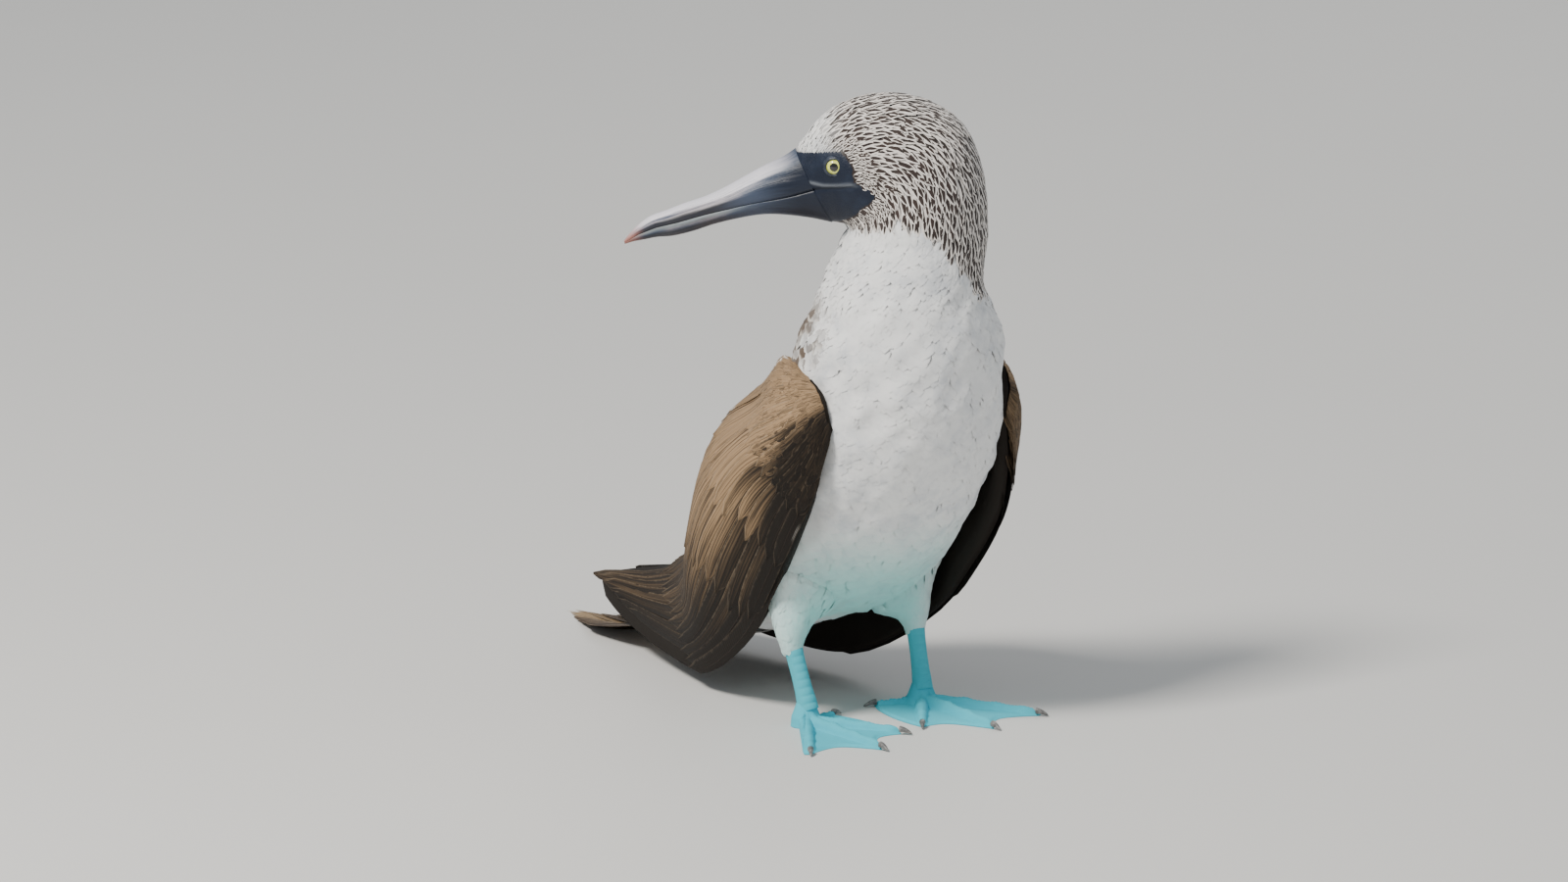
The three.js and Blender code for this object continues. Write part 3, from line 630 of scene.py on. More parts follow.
def build(name, verts, faces, maps=None, fields=None, normals=None):
    """A mesh object from points in mm, arrays of faces, UV maps and fields given per point."""
    mesh = bpy.data.meshes.new(name)
    mesh.vertices.add(len(verts))
    mesh.vertices.foreach_set("co", ((verts + ORIGIN) * MM).astype(np.float32).ravel())
    faces = [np.asarray(f, np.int32) for f in faces if len(f)]
    loops = np.concatenate([f.ravel() for f in faces])
    counts = np.concatenate([np.full(len(f), f.shape[1]) for f in faces])
    mesh.loops.add(len(loops))
    mesh.loops.foreach_set("vertex_index", loops)
    mesh.polygons.add(len(counts))
    mesh.polygons.foreach_set("loop_start", np.concatenate([[0], np.cumsum(counts)[:-1]]).astype(np.int32))
    for key, values in (maps or {}).items():
        layer = mesh.uv_layers.new(name=key)
        layer.data.foreach_set("uv", np.asarray(values, np.float32)[loops].ravel())
    for key, values in (fields or {}).items():
        values = np.asarray(values, np.float32)
        kind = "FLOAT" if values.ndim == 1 else "FLOAT_VECTOR"
        layer = mesh.attributes.new(key, kind, "POINT")
        layer.data.foreach_set("value" if kind == "FLOAT" else "vector", values.ravel())
    mesh.update(calc_edges=True)
    mesh.validate()
    mesh.polygons.foreach_set("use_smooth", np.ones(len(mesh.polygons), bool))
    if normals is not None:
        mesh.normals_split_custom_set_from_vertices(np.asarray(normals, np.float32))
    made = bpy.data.objects.new(name, mesh)
    bpy.context.scene.collection.objects.link(made)
    return made


def grid_faces(rows, columns, wrap=False):
    """Quads over a grid of points, closed round across it where it wraps."""
    i, j = np.meshgrid(np.arange(rows - 1), np.arange(columns if wrap else columns - 1), indexing="ij")
    k = (j + 1) % columns
    quad = np.stack([i * columns + j, i * columns + k, (i + 1) * columns + k, (i + 1) * columns + j], -1)
    return quad.reshape(-1, 4)


def tube(points):
    """Points and faces of rings joined into a closed body, each end drawn to its middle."""
    rows, columns = points.shape[:2]
    verts = np.concatenate([points.reshape(-1, 3), [points[0].mean(0)], [points[-1].mean(0)]])
    j = np.arange(columns)
    k = (j + 1) % columns
    first, last, end = rows * columns, rows * columns + 1, (rows - 1) * columns
    caps = [np.stack([k, j, np.full(columns, first)], 1)]
    caps.append(np.stack([end + j, end + k, np.full(columns, last)], 1))
    return verts, facing_out(verts, [grid_faces(rows, columns, wrap=True), *caps])


def with_ends(values):
    """Values over a tube's rings, with those of its two end points added."""
    flat = values.reshape(-1, values.shape[-1])
    return np.concatenate([flat, [values[0].mean(0)], [values[-1].mean(0)]])


def gather(parts):
    """Several lots of points and faces as one."""
    verts, faces, start = [], [], 0
    for points, some in parts:
        verts.append(points)
        faces += [f + start for f in some]
        start += len(points)
    return np.concatenate(verts), faces


def place(piece, slot, material, *nodes):
    """Fixes a finished piece to the bird: its body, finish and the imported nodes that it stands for."""
    piece.data.materials.append(material)
    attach(piece, "root")
    if nodes:
        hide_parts(*nodes)
    return piece


class Value:
    """A number that varies over a surface, so that sums and products on it add Math nodes."""

    def __init__(self, paint, socket):
        self.paint, self.socket = paint, socket

    def maths(self, operation, *others):
        inputs = dict(zip(("Value", "Value_001", "Value_002"), (self, *others)))
        return self.paint.node("ShaderNodeMath", {"operation": operation}, inputs, "Value")

    def flipped(self, operation, other):
        inputs = {"Value": other, "Value_001": self}
        return self.paint.node("ShaderNodeMath", {"operation": operation}, inputs, "Value")

    def __add__(self, other):
        return self.maths("ADD", other)

    def __radd__(self, other):
        return self.flipped("ADD", other)

    def __sub__(self, other):
        return self.maths("SUBTRACT", other)

    def __rsub__(self, other):
        return self.flipped("SUBTRACT", other)

    def __mul__(self, other):
        return self.maths("MULTIPLY", other)

    def __rmul__(self, other):
        return self.flipped("MULTIPLY", other)

    def __pow__(self, other):
        return self.maths("POWER", other)

    def __abs__(self):
        return self.maths("ABSOLUTE")

    def sine(self):
        return self.maths("SINE")

    def above(self, start, end):
        """Rises smoothly from 0 at start to 1 at end."""
        settings = {"interpolation_type": "SMOOTHSTEP"}
        low, high, first, last = (start, end, 0.0, 1.0) if start < end else (end, start, 1.0, 0.0)
        inputs = {"Value": self, "From Min": low, "From Max": high, "To Min": first, "To Max": last}
        return self.paint.node("ShaderNodeMapRange", settings, inputs, "Result")


class Paint:
    """One material and the nodes that give it its look."""

    def __init__(self, name):
        self.material = bpy.data.materials.new(name)
        self.material.use_nodes = True
        self.tree = self.material.node_tree
        self.tree.nodes.clear()
        self.shader = self.tree.nodes.new("ShaderNodeBsdfPrincipled")
        output = self.tree.nodes.new("ShaderNodeOutputMaterial")
        self.tree.links.new(self.shader.outputs[0], output.inputs[0])

    def node(self, kind, settings, inputs, output):
        """Any node: its type, its settings, the values or links of its sockets, and the output wanted."""
        made = self.tree.nodes.new(kind)
        for key, value in settings.items():
            setattr(made, key, value)
        self.feed(made, inputs)
        socket = next(s for s in made.outputs if output in (s.identifier, s.name))
        return Value(self, socket)

    def feed(self, made, inputs):
        for key, value in inputs.items():
            socket = next(s for s in made.inputs if key in (s.identifier, s.name))
            if isinstance(value, Value):
                self.tree.links.new(value.socket, socket)
            elif socket.type == "RGBA":
                socket.default_value = (*value, 1.0)
            else:
                socket.default_value = value

    def field(self, name, output="Fac"):
        return self.node("ShaderNodeAttribute", {"attribute_name": name}, {}, output)

    def parts(self, vector):
        """The three numbers of a vector."""
        return [self.node("ShaderNodeSeparateXYZ", {}, {"Vector": vector}, axis) for axis in "XYZ"]

    def vector(self, x, y, z):
        return self.node("ShaderNodeCombineXYZ", {}, {"X": x, "Y": y, "Z": z}, "Vector")

    def vane(self):
        """How far along a feather a point lies, and how far out from its shaft, from -1 to 1."""
        along, across, _ = self.parts(self.node("ShaderNodeUVMap", {"uv_map": "Vane"}, {}, "UV"))
        return along, across * 2 - 1

    def position(self):
        return self.node("ShaderNodeTexCoord", {}, {}, "Object")

    def noise(self, scale, detail=3.0, vector=None, roughness=0.55):
        vector = vector or self.position()
        inputs = {"Scale": scale, "Detail": detail, "Roughness": roughness, "Vector": vector}
        return self.node("ShaderNodeTexNoise", {}, inputs, "Fac")

    def cells(self, scale, vector=None):
        inputs = {"Scale": scale, "Vector": vector or self.position()}
        return self.node("ShaderNodeTexVoronoi", {"feature": "DISTANCE_TO_EDGE"}, inputs, "Distance")

    def mix(self, first, second, factor):
        settings = {"data_type": "RGBA", "blend_type": "MIX", "clamp_factor": True}
        inputs = {"Factor_Float": factor, "A_Color": first, "B_Color": second}
        return self.node("ShaderNodeMix", settings, inputs, "Result_Color")

    def bump(self, height, distance, strength=1.0):
        inputs = {"Height": height, "Distance": distance, "Strength": strength}
        return self.node("ShaderNodeBump", {}, inputs, "Normal")

    def finish(self, **sockets):
        self.feed(self.shader, {key.replace("_", " "): value for key, value in sockets.items()})
        return self.material


def colour(name, description, default):
    """A linear colour that a user can change."""
    return FloatVectorProperty(
        name=name, description=description, default=default, subtype="COLOR", size=3, min=0, max=1
    )


def length(name, description, millimetres):
    return FloatProperty(
        name=name, description=description, default=millimetres * MM, unit="LENGTH", min=0, precision=4
    )


class PlumageSettings(bpy.types.PropertyGroup):
    """Lengths and colours of the small feathers."""

    breast_length: length("Breast feather", "Length of one feather of the breast and belly", 14)
    mantle_length: length("Mantle feather", "Length of one feather of the upper back", 16)
    neck_length: length("Neck feather", "Length of one feather of the neck", 10)
    head_length: length("Head feather", "Length of one feather of the crown and cheek", 13)
    face_length: length("Face feather", "Length of one feather beside the face", 5.5)
    body_depth: length("Body coat", "Depth of the feathers over the skin of the body", 2.3)
    head_depth: length("Head coat", "Depth of the feathers over the skin of the head", 1.7)
    white: colour("White", "Breast, belly and throat", (0.86, 0.86, 0.85))
    shade: colour("Grey", "Soft mottling of the breast", (0.63, 0.65, 0.68))
    cream: colour("Cream", "Pale edges of the head feathers", (0.84, 0.79, 0.74))
    streak: colour("Streak", "Dark middles of the head feathers", (0.016, 0.011, 0.010))
    mantle: colour("Mantle", "Brown of the upper back", (0.105, 0.072, 0.048))
    # Colour of the painted turquoise reflection on the lower belly.
    cast: colour("Belly cast", "Turquoise light on the lower belly", (0.17, 0.68, 0.62))


class WingSettings(bpy.types.PropertyGroup):
    """Numbers and colours of the wing and tail feathers."""

    # Dark of the lower and forward wing, partly painted shade.
    dark: colour("Dark brown", "Lower and forward wing feathers", (0.012, 0.009, 0.007))
    # Tan of the upper wing, partly painted sunlight.
    tan: colour("Tan", "Upper wing feathers", (0.36, 0.235, 0.13))
    edge: colour("Pale edge", "Worn edges of the feathers", (0.42, 0.32, 0.22))
    white: colour("White", "Pale line along the shoulder", (0.72, 0.68, 0.62))
    tail_dark: colour("Tail brown", "Outer tail feathers", (0.045, 0.030, 0.021))
    tail_gold: colour("Tail gold", "Middle tail feathers", (0.36, 0.245, 0.13))
    shaft: colour("Shaft", "Quills of the tail feathers", (0.50, 0.43, 0.33))
    lesser: IntProperty(name="Lesser coverts", description="Rows of small feathers", default=11, min=1)


class HeadSettings(bpy.types.PropertyGroup):
    """Sizes and colours of bill, face and eyes."""

    navy: colour("Navy", "Bare skin of the face", (0.006, 0.011, 0.025))
    slate: colour("Slate", "Bill in front of the face", (0.070, 0.095, 0.150))
    lilac: colour("Lilac grey", "Side of the bill", (0.30, 0.27, 0.30))
    # Colour of the painted highlight along the top of the bill.
    ridge: colour("Ridge", "Pale top of the bill", (0.78, 0.76, 0.82))
    tip: colour("Bill tip", "Horn of the tip", (0.42, 0.17, 0.13))
    iris: colour("Iris", "Ring of the eye", (0.70, 0.74, 0.10))
    iris_radius: length("Iris", "Radius of the pale ring", 4.2)
    pupil_radius: length("Pupil", "Radius of the pupil", 2.3)


class LegSettings(bpy.types.PropertyGroup):
    """Colours and skin of legs and feet."""

    leg: colour("Leg", "Skin of the shanks", (0.0, 0.52, 0.66))
    foot: colour("Foot", "Skin of the toes", (0.0, 0.60, 0.78))
    web: colour("Web", "Thin skin between the toes", (0.0, 0.80, 0.98))
    claw: colour("Claw", "Horn of the claws", (0.10, 0.10, 0.10))
    web_depth: length("Web", "Thickness of the web between the toes", 1.3)


class StageSettings(bpy.types.PropertyGroup):
    """Floor, lights and camera."""

    distance: FloatProperty(name="Camera distance", description="From the bird", default=8.0, unit="LENGTH")
    azimuth: FloatProperty(
        name="Azimuth", description="Round from the breast", default=math.radians(-32), subtype="ANGLE"
    )
    elevation: FloatProperty(
        name="Elevation", description="Above the horizon", default=math.radians(12), subtype="ANGLE"
    )
    view_width: FloatProperty(
        name="View width", description="Width in view at the bird", default=0.851, unit="LENGTH"
    )
    floor: colour("Floor", "Pale floor", (0.68, 0.67, 0.65))
    sky: colour("Surround", "Soft light from all round", (0.80, 0.86, 0.92))
    surround: FloatProperty(name="Surround", description="Strength of the soft light", default=0.48)


Lot = namedtuple("Lot", "verts quads local facing spots each")


def blade(s, root=0.55, rounding=0.5, power=2.0, tip=0.05):
    """How wide a feather is at s along it, as a share of its widest, with a rounded tip."""
    widen = root + (1 - root) * smooth(0, 0.4, s)
    close = np.clip((s - rounding) / (1 - rounding), 0, 1)
    return widen * np.maximum(1 - close**power, tip**2) ** 0.5


def feathers(sheet, s, u, v, half, lift, columns, camber=0.0, tilt=0.0, flat=True):
    """Closed blades lying over a sheet. u, v, half width and lift are given for each feather and each s."""
    count, steps = u.shape
    columns = np.asarray(columns, float)
    over = v[..., None] + columns * (half / sheet.at(sheet.wide, u, v))[..., None]
    along = np.repeat(u[..., None], len(columns), -1)
    normals = unit(sheet.at(sheet.normals, along, over))
    narrow = (half / np.maximum(half.max(1, keepdims=True), 1e-6))[..., None]
    dome = np.asarray(camber, float).reshape(-1, 1, 1) * narrow * (1 - columns**2)
    rise = lift[..., None] + dome - np.asarray(tilt, float).reshape(-1, 1, 1) * columns
    top = sheet.at(sheet.points, along, over) + normals * rise[..., None]
    picked = [0, len(columns) - 1] if flat else list(range(len(columns)))
    under = top[:, :, picked] - normals[:, :, picked] * (dome * 0.9 + 0.02)[:, :, picked, None]
    under[:, :, 0], under[:, :, -1] = top[:, :, 0], top[:, :, -1]
    m, w = len(columns), len(picked)
    each = steps * (m + w)
    start = np.arange(count)[:, None, None] * each
    quads = np.concatenate([grid_faces(steps, m), grid_faces(steps, w)[:, ::-1] + steps * m])[None] + start
    spot = np.stack([along, over], -1)
    rows = (columns, columns[picked])
    local = [np.stack(np.meshgrid(s, row, indexing="ij"), -1).reshape(-1, 2) for row in rows]
    return Lot(
        both_faces(top, under),
        quads.reshape(-1, 4),
        np.tile(np.concatenate(local), (count, 1)),
        both_faces(normals, -normals[:, :, picked]),
        both_faces(spot, spot[:, :, picked]),
        each,
    )


def both_faces(upper, lower):
    """Values of the upper and lower face of each feather in turn, as one list."""
    size = upper.shape[-1]
    faces = [face.reshape(len(face), -1, size) for face in (upper, lower)]
    return np.concatenate(faces, 1).reshape(-1, size)


def coat(name, tracts, soft=0.6):
    """One piece from tracts of feathers: each a lot, its marks, its seeds and its roots on the unwrap."""
    quads, start = [], 0
    fields = {"marks": [], "seed": []}
    patches = []
    for lot, marks, seed, roots in tracts:
        quads.append(lot.quads + start)
        fields["marks"].append(marks if len(marks) == len(lot.verts) else np.repeat(marks, lot.each, 0))
        fields["seed"].append(np.repeat(seed, lot.each, 0))
        patches.append(np.repeat(roots, lot.each, 0) + (lot.local * [1, 0.5] - [0.5, 0]) * PATCH)
        start += len(lot.verts)
    verts, local, outward = (
        np.concatenate([getattr(lot, key) for lot, *_ in tracts]) for key in ("verts", "local", "facing")
    )
    quads = np.concatenate(quads)
    low = verts[:, 2] < FLOOR_SOFT
    verts[low, 2] = FLOOR_SOFT * np.exp((verts[low, 2] - FLOOR_SOFT) / FLOOR_SOFT)
    corners = verts[quads]
    cross = np.cross(corners[:, 2] - corners[:, 0], corners[:, 3] - corners[:, 1])
    own = np.zeros_like(verts)
    for k in range(4):
        np.add.at(own, quads[:, k], cross)
    turned = unit(own) * np.sign((own * outward).sum(-1, keepdims=True) + 1e-9)
    normals = unit(turned * (1 - soft) + outward * soft)
    flip = (cross * outward[quads[:, 0]]).sum(-1) < 0
    quads[flip] = quads[flip][:, ::-1]
    patches = np.clip(np.concatenate(patches), 0.001, 0.999)
    maps = {"OFBake": patches, "Vane": local * [1, 0.5] + [0, 0.5]}
    fields = {key: np.concatenate(values) for key, values in fields.items()}
    return build(name, verts, [quads], maps, fields, normals)


def covered_by_wing():
    """A test of which points of the body lie under a folded wing, its edges left out."""
    faces = [sheet.points[8:150:2, 5:56:2].reshape(-1, 3) for sheet in WINGS.values()]
    tree = tree_of(np.concatenate(faces))
    return lambda places: np.array([tree.find(p)[2] < WING_COVER for p in places])


def scatter(rng, first, last, gap, across):
    """Staggered rows of roots over the body from u first to last, gap apart along it and across round it."""
    u, row, found = first, 0, []
    turns = np.arange(BODY_SIDES) / BODY_SIDES
    while u < last:
        line = np.full(BODY_SIDES, u)
        long, wide = BODY.at(BODY.long, line, turns), BODY.at(BODY.wide, line, turns)
        count = max(int(wide.mean() / across), 8)
        v = (np.arange(count) + 0.5 * (row % 2) + rng.uniform(-0.28, 0.28, count)) / count % 1
        near = np.interp(v, turns, long)
        keep = rng.random(count) < np.minimum(near / long.max() * 1.7, (row + 1) / 4)
        found.append(np.stack([u + rng.uniform(-0.3, 0.3, count) * gap / near, v], 1)[keep])
        u += gap / long.max()
        row += 1
    return np.concatenate(found)


def flow(sheet, roots, turn, size):
    """Where feathers of some size run from their roots back along a sheet, at each of their rows."""
    u, v = roots[:, 0], roots[:, 1]
    path = [(u, v)]
    for share in np.diff(VANE_STEPS):
        for _ in range(FLOW_STEPS):
            step = size * share / FLOW_STEPS
            back = np.cos(turn) * step / sheet.at(sheet.long, u, v)
            sideways = np.sin(turn) * step / sheet.at(sheet.wide, u, v)
            u, v = np.clip(u - back, 0, 1), v + sideways
        path.append((u, v))
    return [np.stack(run, 1) for run in zip(*path)]


def sag(sheet, roots, size):
    """How far feathers from these roots would span a hollow of the sheet, in mm."""
    u, v = flow(sheet, roots, 0, size)
    ends = sheet.at(sheet.points, u, v)
    middles = sheet.at(sheet.points, (u[:, 1:] + u[:, :-1]) / 2, (v[:, 1:] + v[:, :-1]) / 2)
    return np.linalg.norm(middles - (ends[:, 1:] + ends[:, :-1]) / 2, axis=-1).max(1)


def small_feathers(sheet, rng, roots, size, width, depth, rounding=0.5, power=2.0, swirl=0.12, ragged=0.3,
                   camber=0.3, columns=(-1, 0, 1)):
    """Small feathers that rise from under the skin and lie back along a sheet."""
    count, s = len(roots), VANE_STEPS[None]
    grow = rng.uniform(0.85, 1.15, count)
    u, v = flow(sheet, roots, rng.normal(0, swirl, count), size * grow)
    half = width / 2 * grow[:, None] * blade(s, rounding=rounding, power=power)
    lift = np.reshape(depth + ROOTED, (-1, 1)) * (smooth(0, 0.75, s) - 1)
    lift = lift + rng.uniform(-ragged, 0.7 * ragged, (count, 1)) * s
    tilt = rng.uniform(-0.15, 0.15, count)
    return feathers(sheet, VANE_STEPS, u, v, half, lift, columns, camber, tilt), (u, v)


def body_coat(name, slot, material, depths, wanted, *, seed, span, gap, across, size, width, soft, **style):
    """A tract of small feathers over part of the body, as one piece."""
    rng = np.random.default_rng(seed)
    roots = scatter(rng, *span, gap, across)
    at = BODY.at(BODY.points, roots[:, 0], roots[:, 1])
    normals = unit(BODY.at(BODY.normals, roots[:, 0], roots[:, 1]))
    keep = wanted(at, normals) & (sag(BODY, roots, size) < MOST_SAG)
    roots, normals = roots[keep], normals[keep]
    depth = coat_depth(roots[:, 0], at[keep], *depths)
    lot, (u, v) = small_feathers(BODY, rng, roots, size, width, depth, **style)
    tips = BODY.at(BODY.points, u[:, 3], v[:, 3])
    marks = markings(tips + rng.normal(0, 0.8, tips.shape), normals)
    return place(coat(name, [(lot, marks, rng.random(len(roots)), roots)], soft), slot, material)


# Second tones, which no setting changes.
STREAK_BROWN = (0.055, 0.036, 0.030)
CREAM_SHADE = (0.62, 0.55, 0.50)
MANTLE_EDGE = (0.62, 0.57, 0.50)
MANTLE_SHADE = (0.05, 0.035, 0.025)
QUILL_BROWN = (0.03, 0.02, 0.015)
FACE_LIGHT = (0.018, 0.028, 0.054)
# Painted highlight on the raised fold over the gape.
FOLD_HIGHLIGHT = (0.20, 0.22, 0.25)
# Painted shade under the lower half of the bill.
UNDER_SHADE = (0.014, 0.017, 0.025)
# Painted highlight along the lower half's edge by the mouth.
RIM_HIGHLIGHT = (0.25, 0.29, 0.30)
# Black of the horn: its dark streaks, and the painted shade along the mouth.
HORN_BLACK = (0.016, 0.017, 0.024)
IRIS_LIGHT = (0.88, 0.90, 0.30)
IRIS_RIM = (0.34, 0.36, 0.06)
PUPIL_BLACK = (0.004, 0.004, 0.005)
BALL_DARK = (0.012, 0.013, 0.017)
LID_DARK = (0.014, 0.020, 0.036)
LID_LIGHT = (0.045, 0.058, 0.085)
CREASE_BLUE = (0.02, 0.36, 0.52)
SCALE_EDGE = (0.015, 0.28, 0.38)
CLAW_LIGHT = (0.26, 0.25, 0.24)


def plumage(name, settings, skin=False):
    """White, streaked and brown small feathers with a painted turquoise reflection, or the skin under them.
    """
    paint = Paint(name)
    streaks, brown, aqua_reflection = paint.parts(paint.field("marks", "Vector"))
    if skin:
        seed, along, side = paint.noise(90.0, 2.0), paint.noise(160.0, 1.0), paint.noise(140.0, 1.0) - 0.5
    else:
        seed = paint.field("seed")
        along, side = paint.vane()
    mottle = paint.noise(95.0, 3.0) * 0.5 + paint.noise(34.0, 2.0) * 0.5
    white = paint.mix(settings.shade, settings.white, (mottle + seed * 0.10).above(0.30, 0.62))
    # Painted turquoise reflection laid over the white low on the belly.
    white = paint.mix(white, settings.cast, aqua_reflection * (0.45 + mottle * 0.5))
    dark = paint.mix(settings.streak, STREAK_BROWN, seed * 0.6)
    reach = 0.56 - 0.50 * along.above(0.74, 1.0) + (seed - 0.5) * 0.3
    stripe = (reach - abs(side)).above(-0.03, 0.12) * along.above(0.10, 0.25)
    cream = paint.mix(settings.cream, CREAM_SHADE, (seed * 7.0).sine() * 0.2 + 0.2)
    base = paint.mix(white, paint.mix(cream, dark, stripe), streaks)
    pale_tip = (along + (seed - 0.5) * 0.3).above(0.80, 1.0)
    back = paint.mix(settings.mantle, MANTLE_EDGE, pale_tip * (0.25 + seed * 0.75))
    back = paint.mix(back, MANTLE_SHADE, (1 - along).above(0.5, 1.0) * 0.6)
    base = paint.mix(base, back, brown)
    barbs = (along * 44.0 + abs(side) * 20.0).sine()
    height = barbs * 0.12 + paint.noise(900.0, 2.0) * 0.4
    return paint.finish(
        Base_Color=base,
        Roughness=0.75,
        Specular_IOR_Level=0.22,
        Sheen_Weight=0.2,
        Sheen_Roughness=0.5,
        Normal=paint.bump(height, 0.0002, 0.5),
    )


def wing_paint(name, settings, tail=False):
    """Long brown feathers with fine streaks along them, shafts and worn pale edges."""
    paint = Paint(name)
    light, white, pale = paint.parts(paint.field("marks", "Vector"))
    seed = paint.field("seed")
    along, side = paint.vane()
    low, high = (settings.tail_dark, settings.tail_gold) if tail else (settings.dark, settings.tan)
    grain = paint.noise(1.0, 4.0, paint.vector(side * 7.0 + seed * 37.0, along * 1.5, seed * 19.0), 0.6)
    fine = grain.above(0.36, 0.64) - 0.5
    # On the wings the light mark is partly painted sunlight; on the tail it is the gold of the middle
    # feathers.
    tone = light * 0.8 + fine * 0.75 * (0.14 + light) + (seed - 0.5) * 0.26 * (0.2 + light)
    base = paint.mix(low, high, tone.above(0.0, 1.0))
    worn = abs(side) + along.above(0.86, 1.0) * 0.3 + (paint.noise(260.0, 2.0) - 0.5) * 0.5
    base = paint.mix(base, settings.edge, worn.above(0.80, 1.08) * pale)
    quill = (0.08 - abs(side)).above(0.0, 0.06) * (1 - along).above(0.02, 0.2)
    base = paint.mix(base, settings.shaft if tail else QUILL_BROWN, quill * (0.9 if tail else 0.5))
    base = paint.mix(base, settings.white, (white + fine * white * 0.8).above(0.3, 0.8))
    lines = (along * 260.0 + abs(side) * 40.0 + seed * 9.0).sine()
    height = lines * 0.2 + grain * 0.6 + quill * 1.6 + paint.noise(700.0, 2.0) * 0.3
    return paint.finish(
        Base_Color=base,
        Roughness=0.68 + (grain - 0.5) * 0.3,
        Specular_IOR_Level=0.18,
        Normal=paint.bump(height, 0.0003, 0.6),
    )


def face_paint(name, settings):
    """Dark skin of the face: fine wrinkles and a painted highlight along the fold at the gape."""
    paint = Paint(name)
    tone = paint.noise(80.0, 4.0)
    base = paint.mix(settings.navy, FACE_LIGHT, tone.above(0.42, 0.78) * 0.7)
    fold = paint.field("fold")
    # Painted highlight along the raised fold over the gape.
    base = paint.mix(base, FOLD_HIGHLIGHT, fold * 0.65)
    height = paint.cells(950.0).above(0.0, 0.25) * 0.5 + paint.noise(500.0, 3.0) * 0.5
    return paint.finish(
        Base_Color=base,
        Roughness=0.46 + (tone - 0.5) * 0.3,
        Specular_IOR_Level=0.3,
        Normal=paint.bump(height, 0.0003, 0.5),
    )


def bill_paint(name, settings):
    """Horn: navy at the base, a painted highlight along the ridge, streaky lilac sides, painted shade along
    the mouth and under the lower half, a painted highlight on the lower half by the mouth, a reddish tip.
    """
    paint = Paint(name)
    along, height, upper = paint.parts(paint.field("horn", "Vector"))
    streaks = paint.noise(3.0, 5.0, paint.field("grain", "Vector"), 0.65)
    cloud = paint.noise(55.0, 3.0)
    clouded = streaks + (cloud - 0.5) * 0.5
    grey = paint.mix(settings.slate, settings.lilac, clouded.above(0.35, 0.62))
    # Painted highlight: the top of the upper half is lightened towards the ridge colour.
    ridge = (height + (streaks - 0.5) * 0.7).above(0.52, 0.80) * upper
    base = paint.mix(grey, settings.ridge, ridge * 0.85)
    # Painted highlight along the lower half's edge by the mouth, and painted shade below it.
    rim = (1 - upper) * (1 - height).above(0.62, 0.85)
    base = paint.mix(base, UNDER_SHADE, (1 - upper) * height.above(0.25, 0.6) * 0.85)
    base = paint.mix(base, RIM_HIGHLIGHT, rim * 0.75)
    # Painted shade: a near-black band on the upper half just above the mouth.
    lip_shade = (0.46 - height + (streaks - 0.5) * 0.35).above(0.0, 0.14)
    base = paint.mix(base, HORN_BLACK, upper * lip_shade * 0.95)
    base = paint.mix(base, HORN_BLACK, streaks.above(0.54, 0.70) * 0.7 * (1 - ridge * 0.6))
    # The height term lets the painted ridge highlight start nearer the base.
    fade = along + (streaks - 0.5) * 0.14 + upper * height.above(0.45, 0.9) * 0.24
    base = paint.mix(settings.slate, base, fade.above(0.22, 0.46))
    base = paint.mix(settings.navy, base, fade.above(0.08, 0.38))
    base = paint.mix(base, settings.tip, (along + (streaks - 0.5) * 0.1).above(0.78, 0.96) * 0.8)
    return paint.finish(
        Base_Color=base,
        Roughness=0.40 + (streaks - 0.5) * 0.35,
        Specular_IOR_Level=0.4,
        Normal=paint.bump(streaks * 0.8 + paint.noise(420.0, 3.0) * 0.3, 0.0005, 0.6),
    )


def eye_paint(name, settings):
    """Pale iris, small pupil and dark rim under a wet cornea, by the distance from the eye's axis."""
    paint = Paint(name)
    x, y, _ = paint.parts(paint.position())
    out = (x * x + y * y) ** 0.5
    wobble = (paint.noise(900.0, 2.0) - 0.5) * 0.0003
    pupil, iris = settings.pupil_radius, settings.iris_radius
    inputs = {"Vector": paint.position()}
    aim = paint.node("ShaderNodeVectorMath", {"operation": "NORMALIZE"}, inputs, "Vector")
    ring = paint.mix(settings.iris, IRIS_LIGHT, paint.noise(5.0, 4.0, aim).above(0.4, 0.7))
    ring = paint.mix(ring, IRIS_RIM, (out + wobble).above(iris * 0.82, iris * 1.02) * 0.8)
    base = paint.mix(ring, PUPIL_BLACK, (pupil - out + wobble).above(-0.0001, 0.00012))
    base = paint.mix(base, BALL_DARK, (out - iris).above(0.0, 0.0003))
    return paint.finish(
        Base_Color=base, Roughness=0.12, Coat_Weight=1.0, Coat_Roughness=0.03, Specular_IOR_Level=0.5
    )


def leg_paint(name, settings, tone):
    """Turquoise skin with small scales, scutes along the front and creases."""
    paint = Paint(name)
    ridge, _, _ = paint.parts(paint.field("skin", "Vector"))
    shade = paint.noise(60.0, 4.0)
    base = paint.mix(settings.web, tone, (shade * 0.8 + ridge * 0.5).above(0.3, 0.75))
    base = paint.mix(base, CREASE_BLUE, paint.noise(130.0, 3.0).above(0.55, 0.75) * 0.35)
    scales = paint.cells(560.0)
    base = paint.mix(base, SCALE_EDGE, (0.07 - scales).above(0.0, 0.07) * 0.45)
    height = scales.above(0.0, 0.12) * 0.7 + paint.noise(500.0, 3.0) * 0.3
    return paint.finish(
        Base_Color=base,
        Roughness=0.55 + (shade - 0.5) * 0.3,
        Specular_IOR_Level=0.25,
        Normal=paint.bump(height, 0.0004, 0.6),
    )


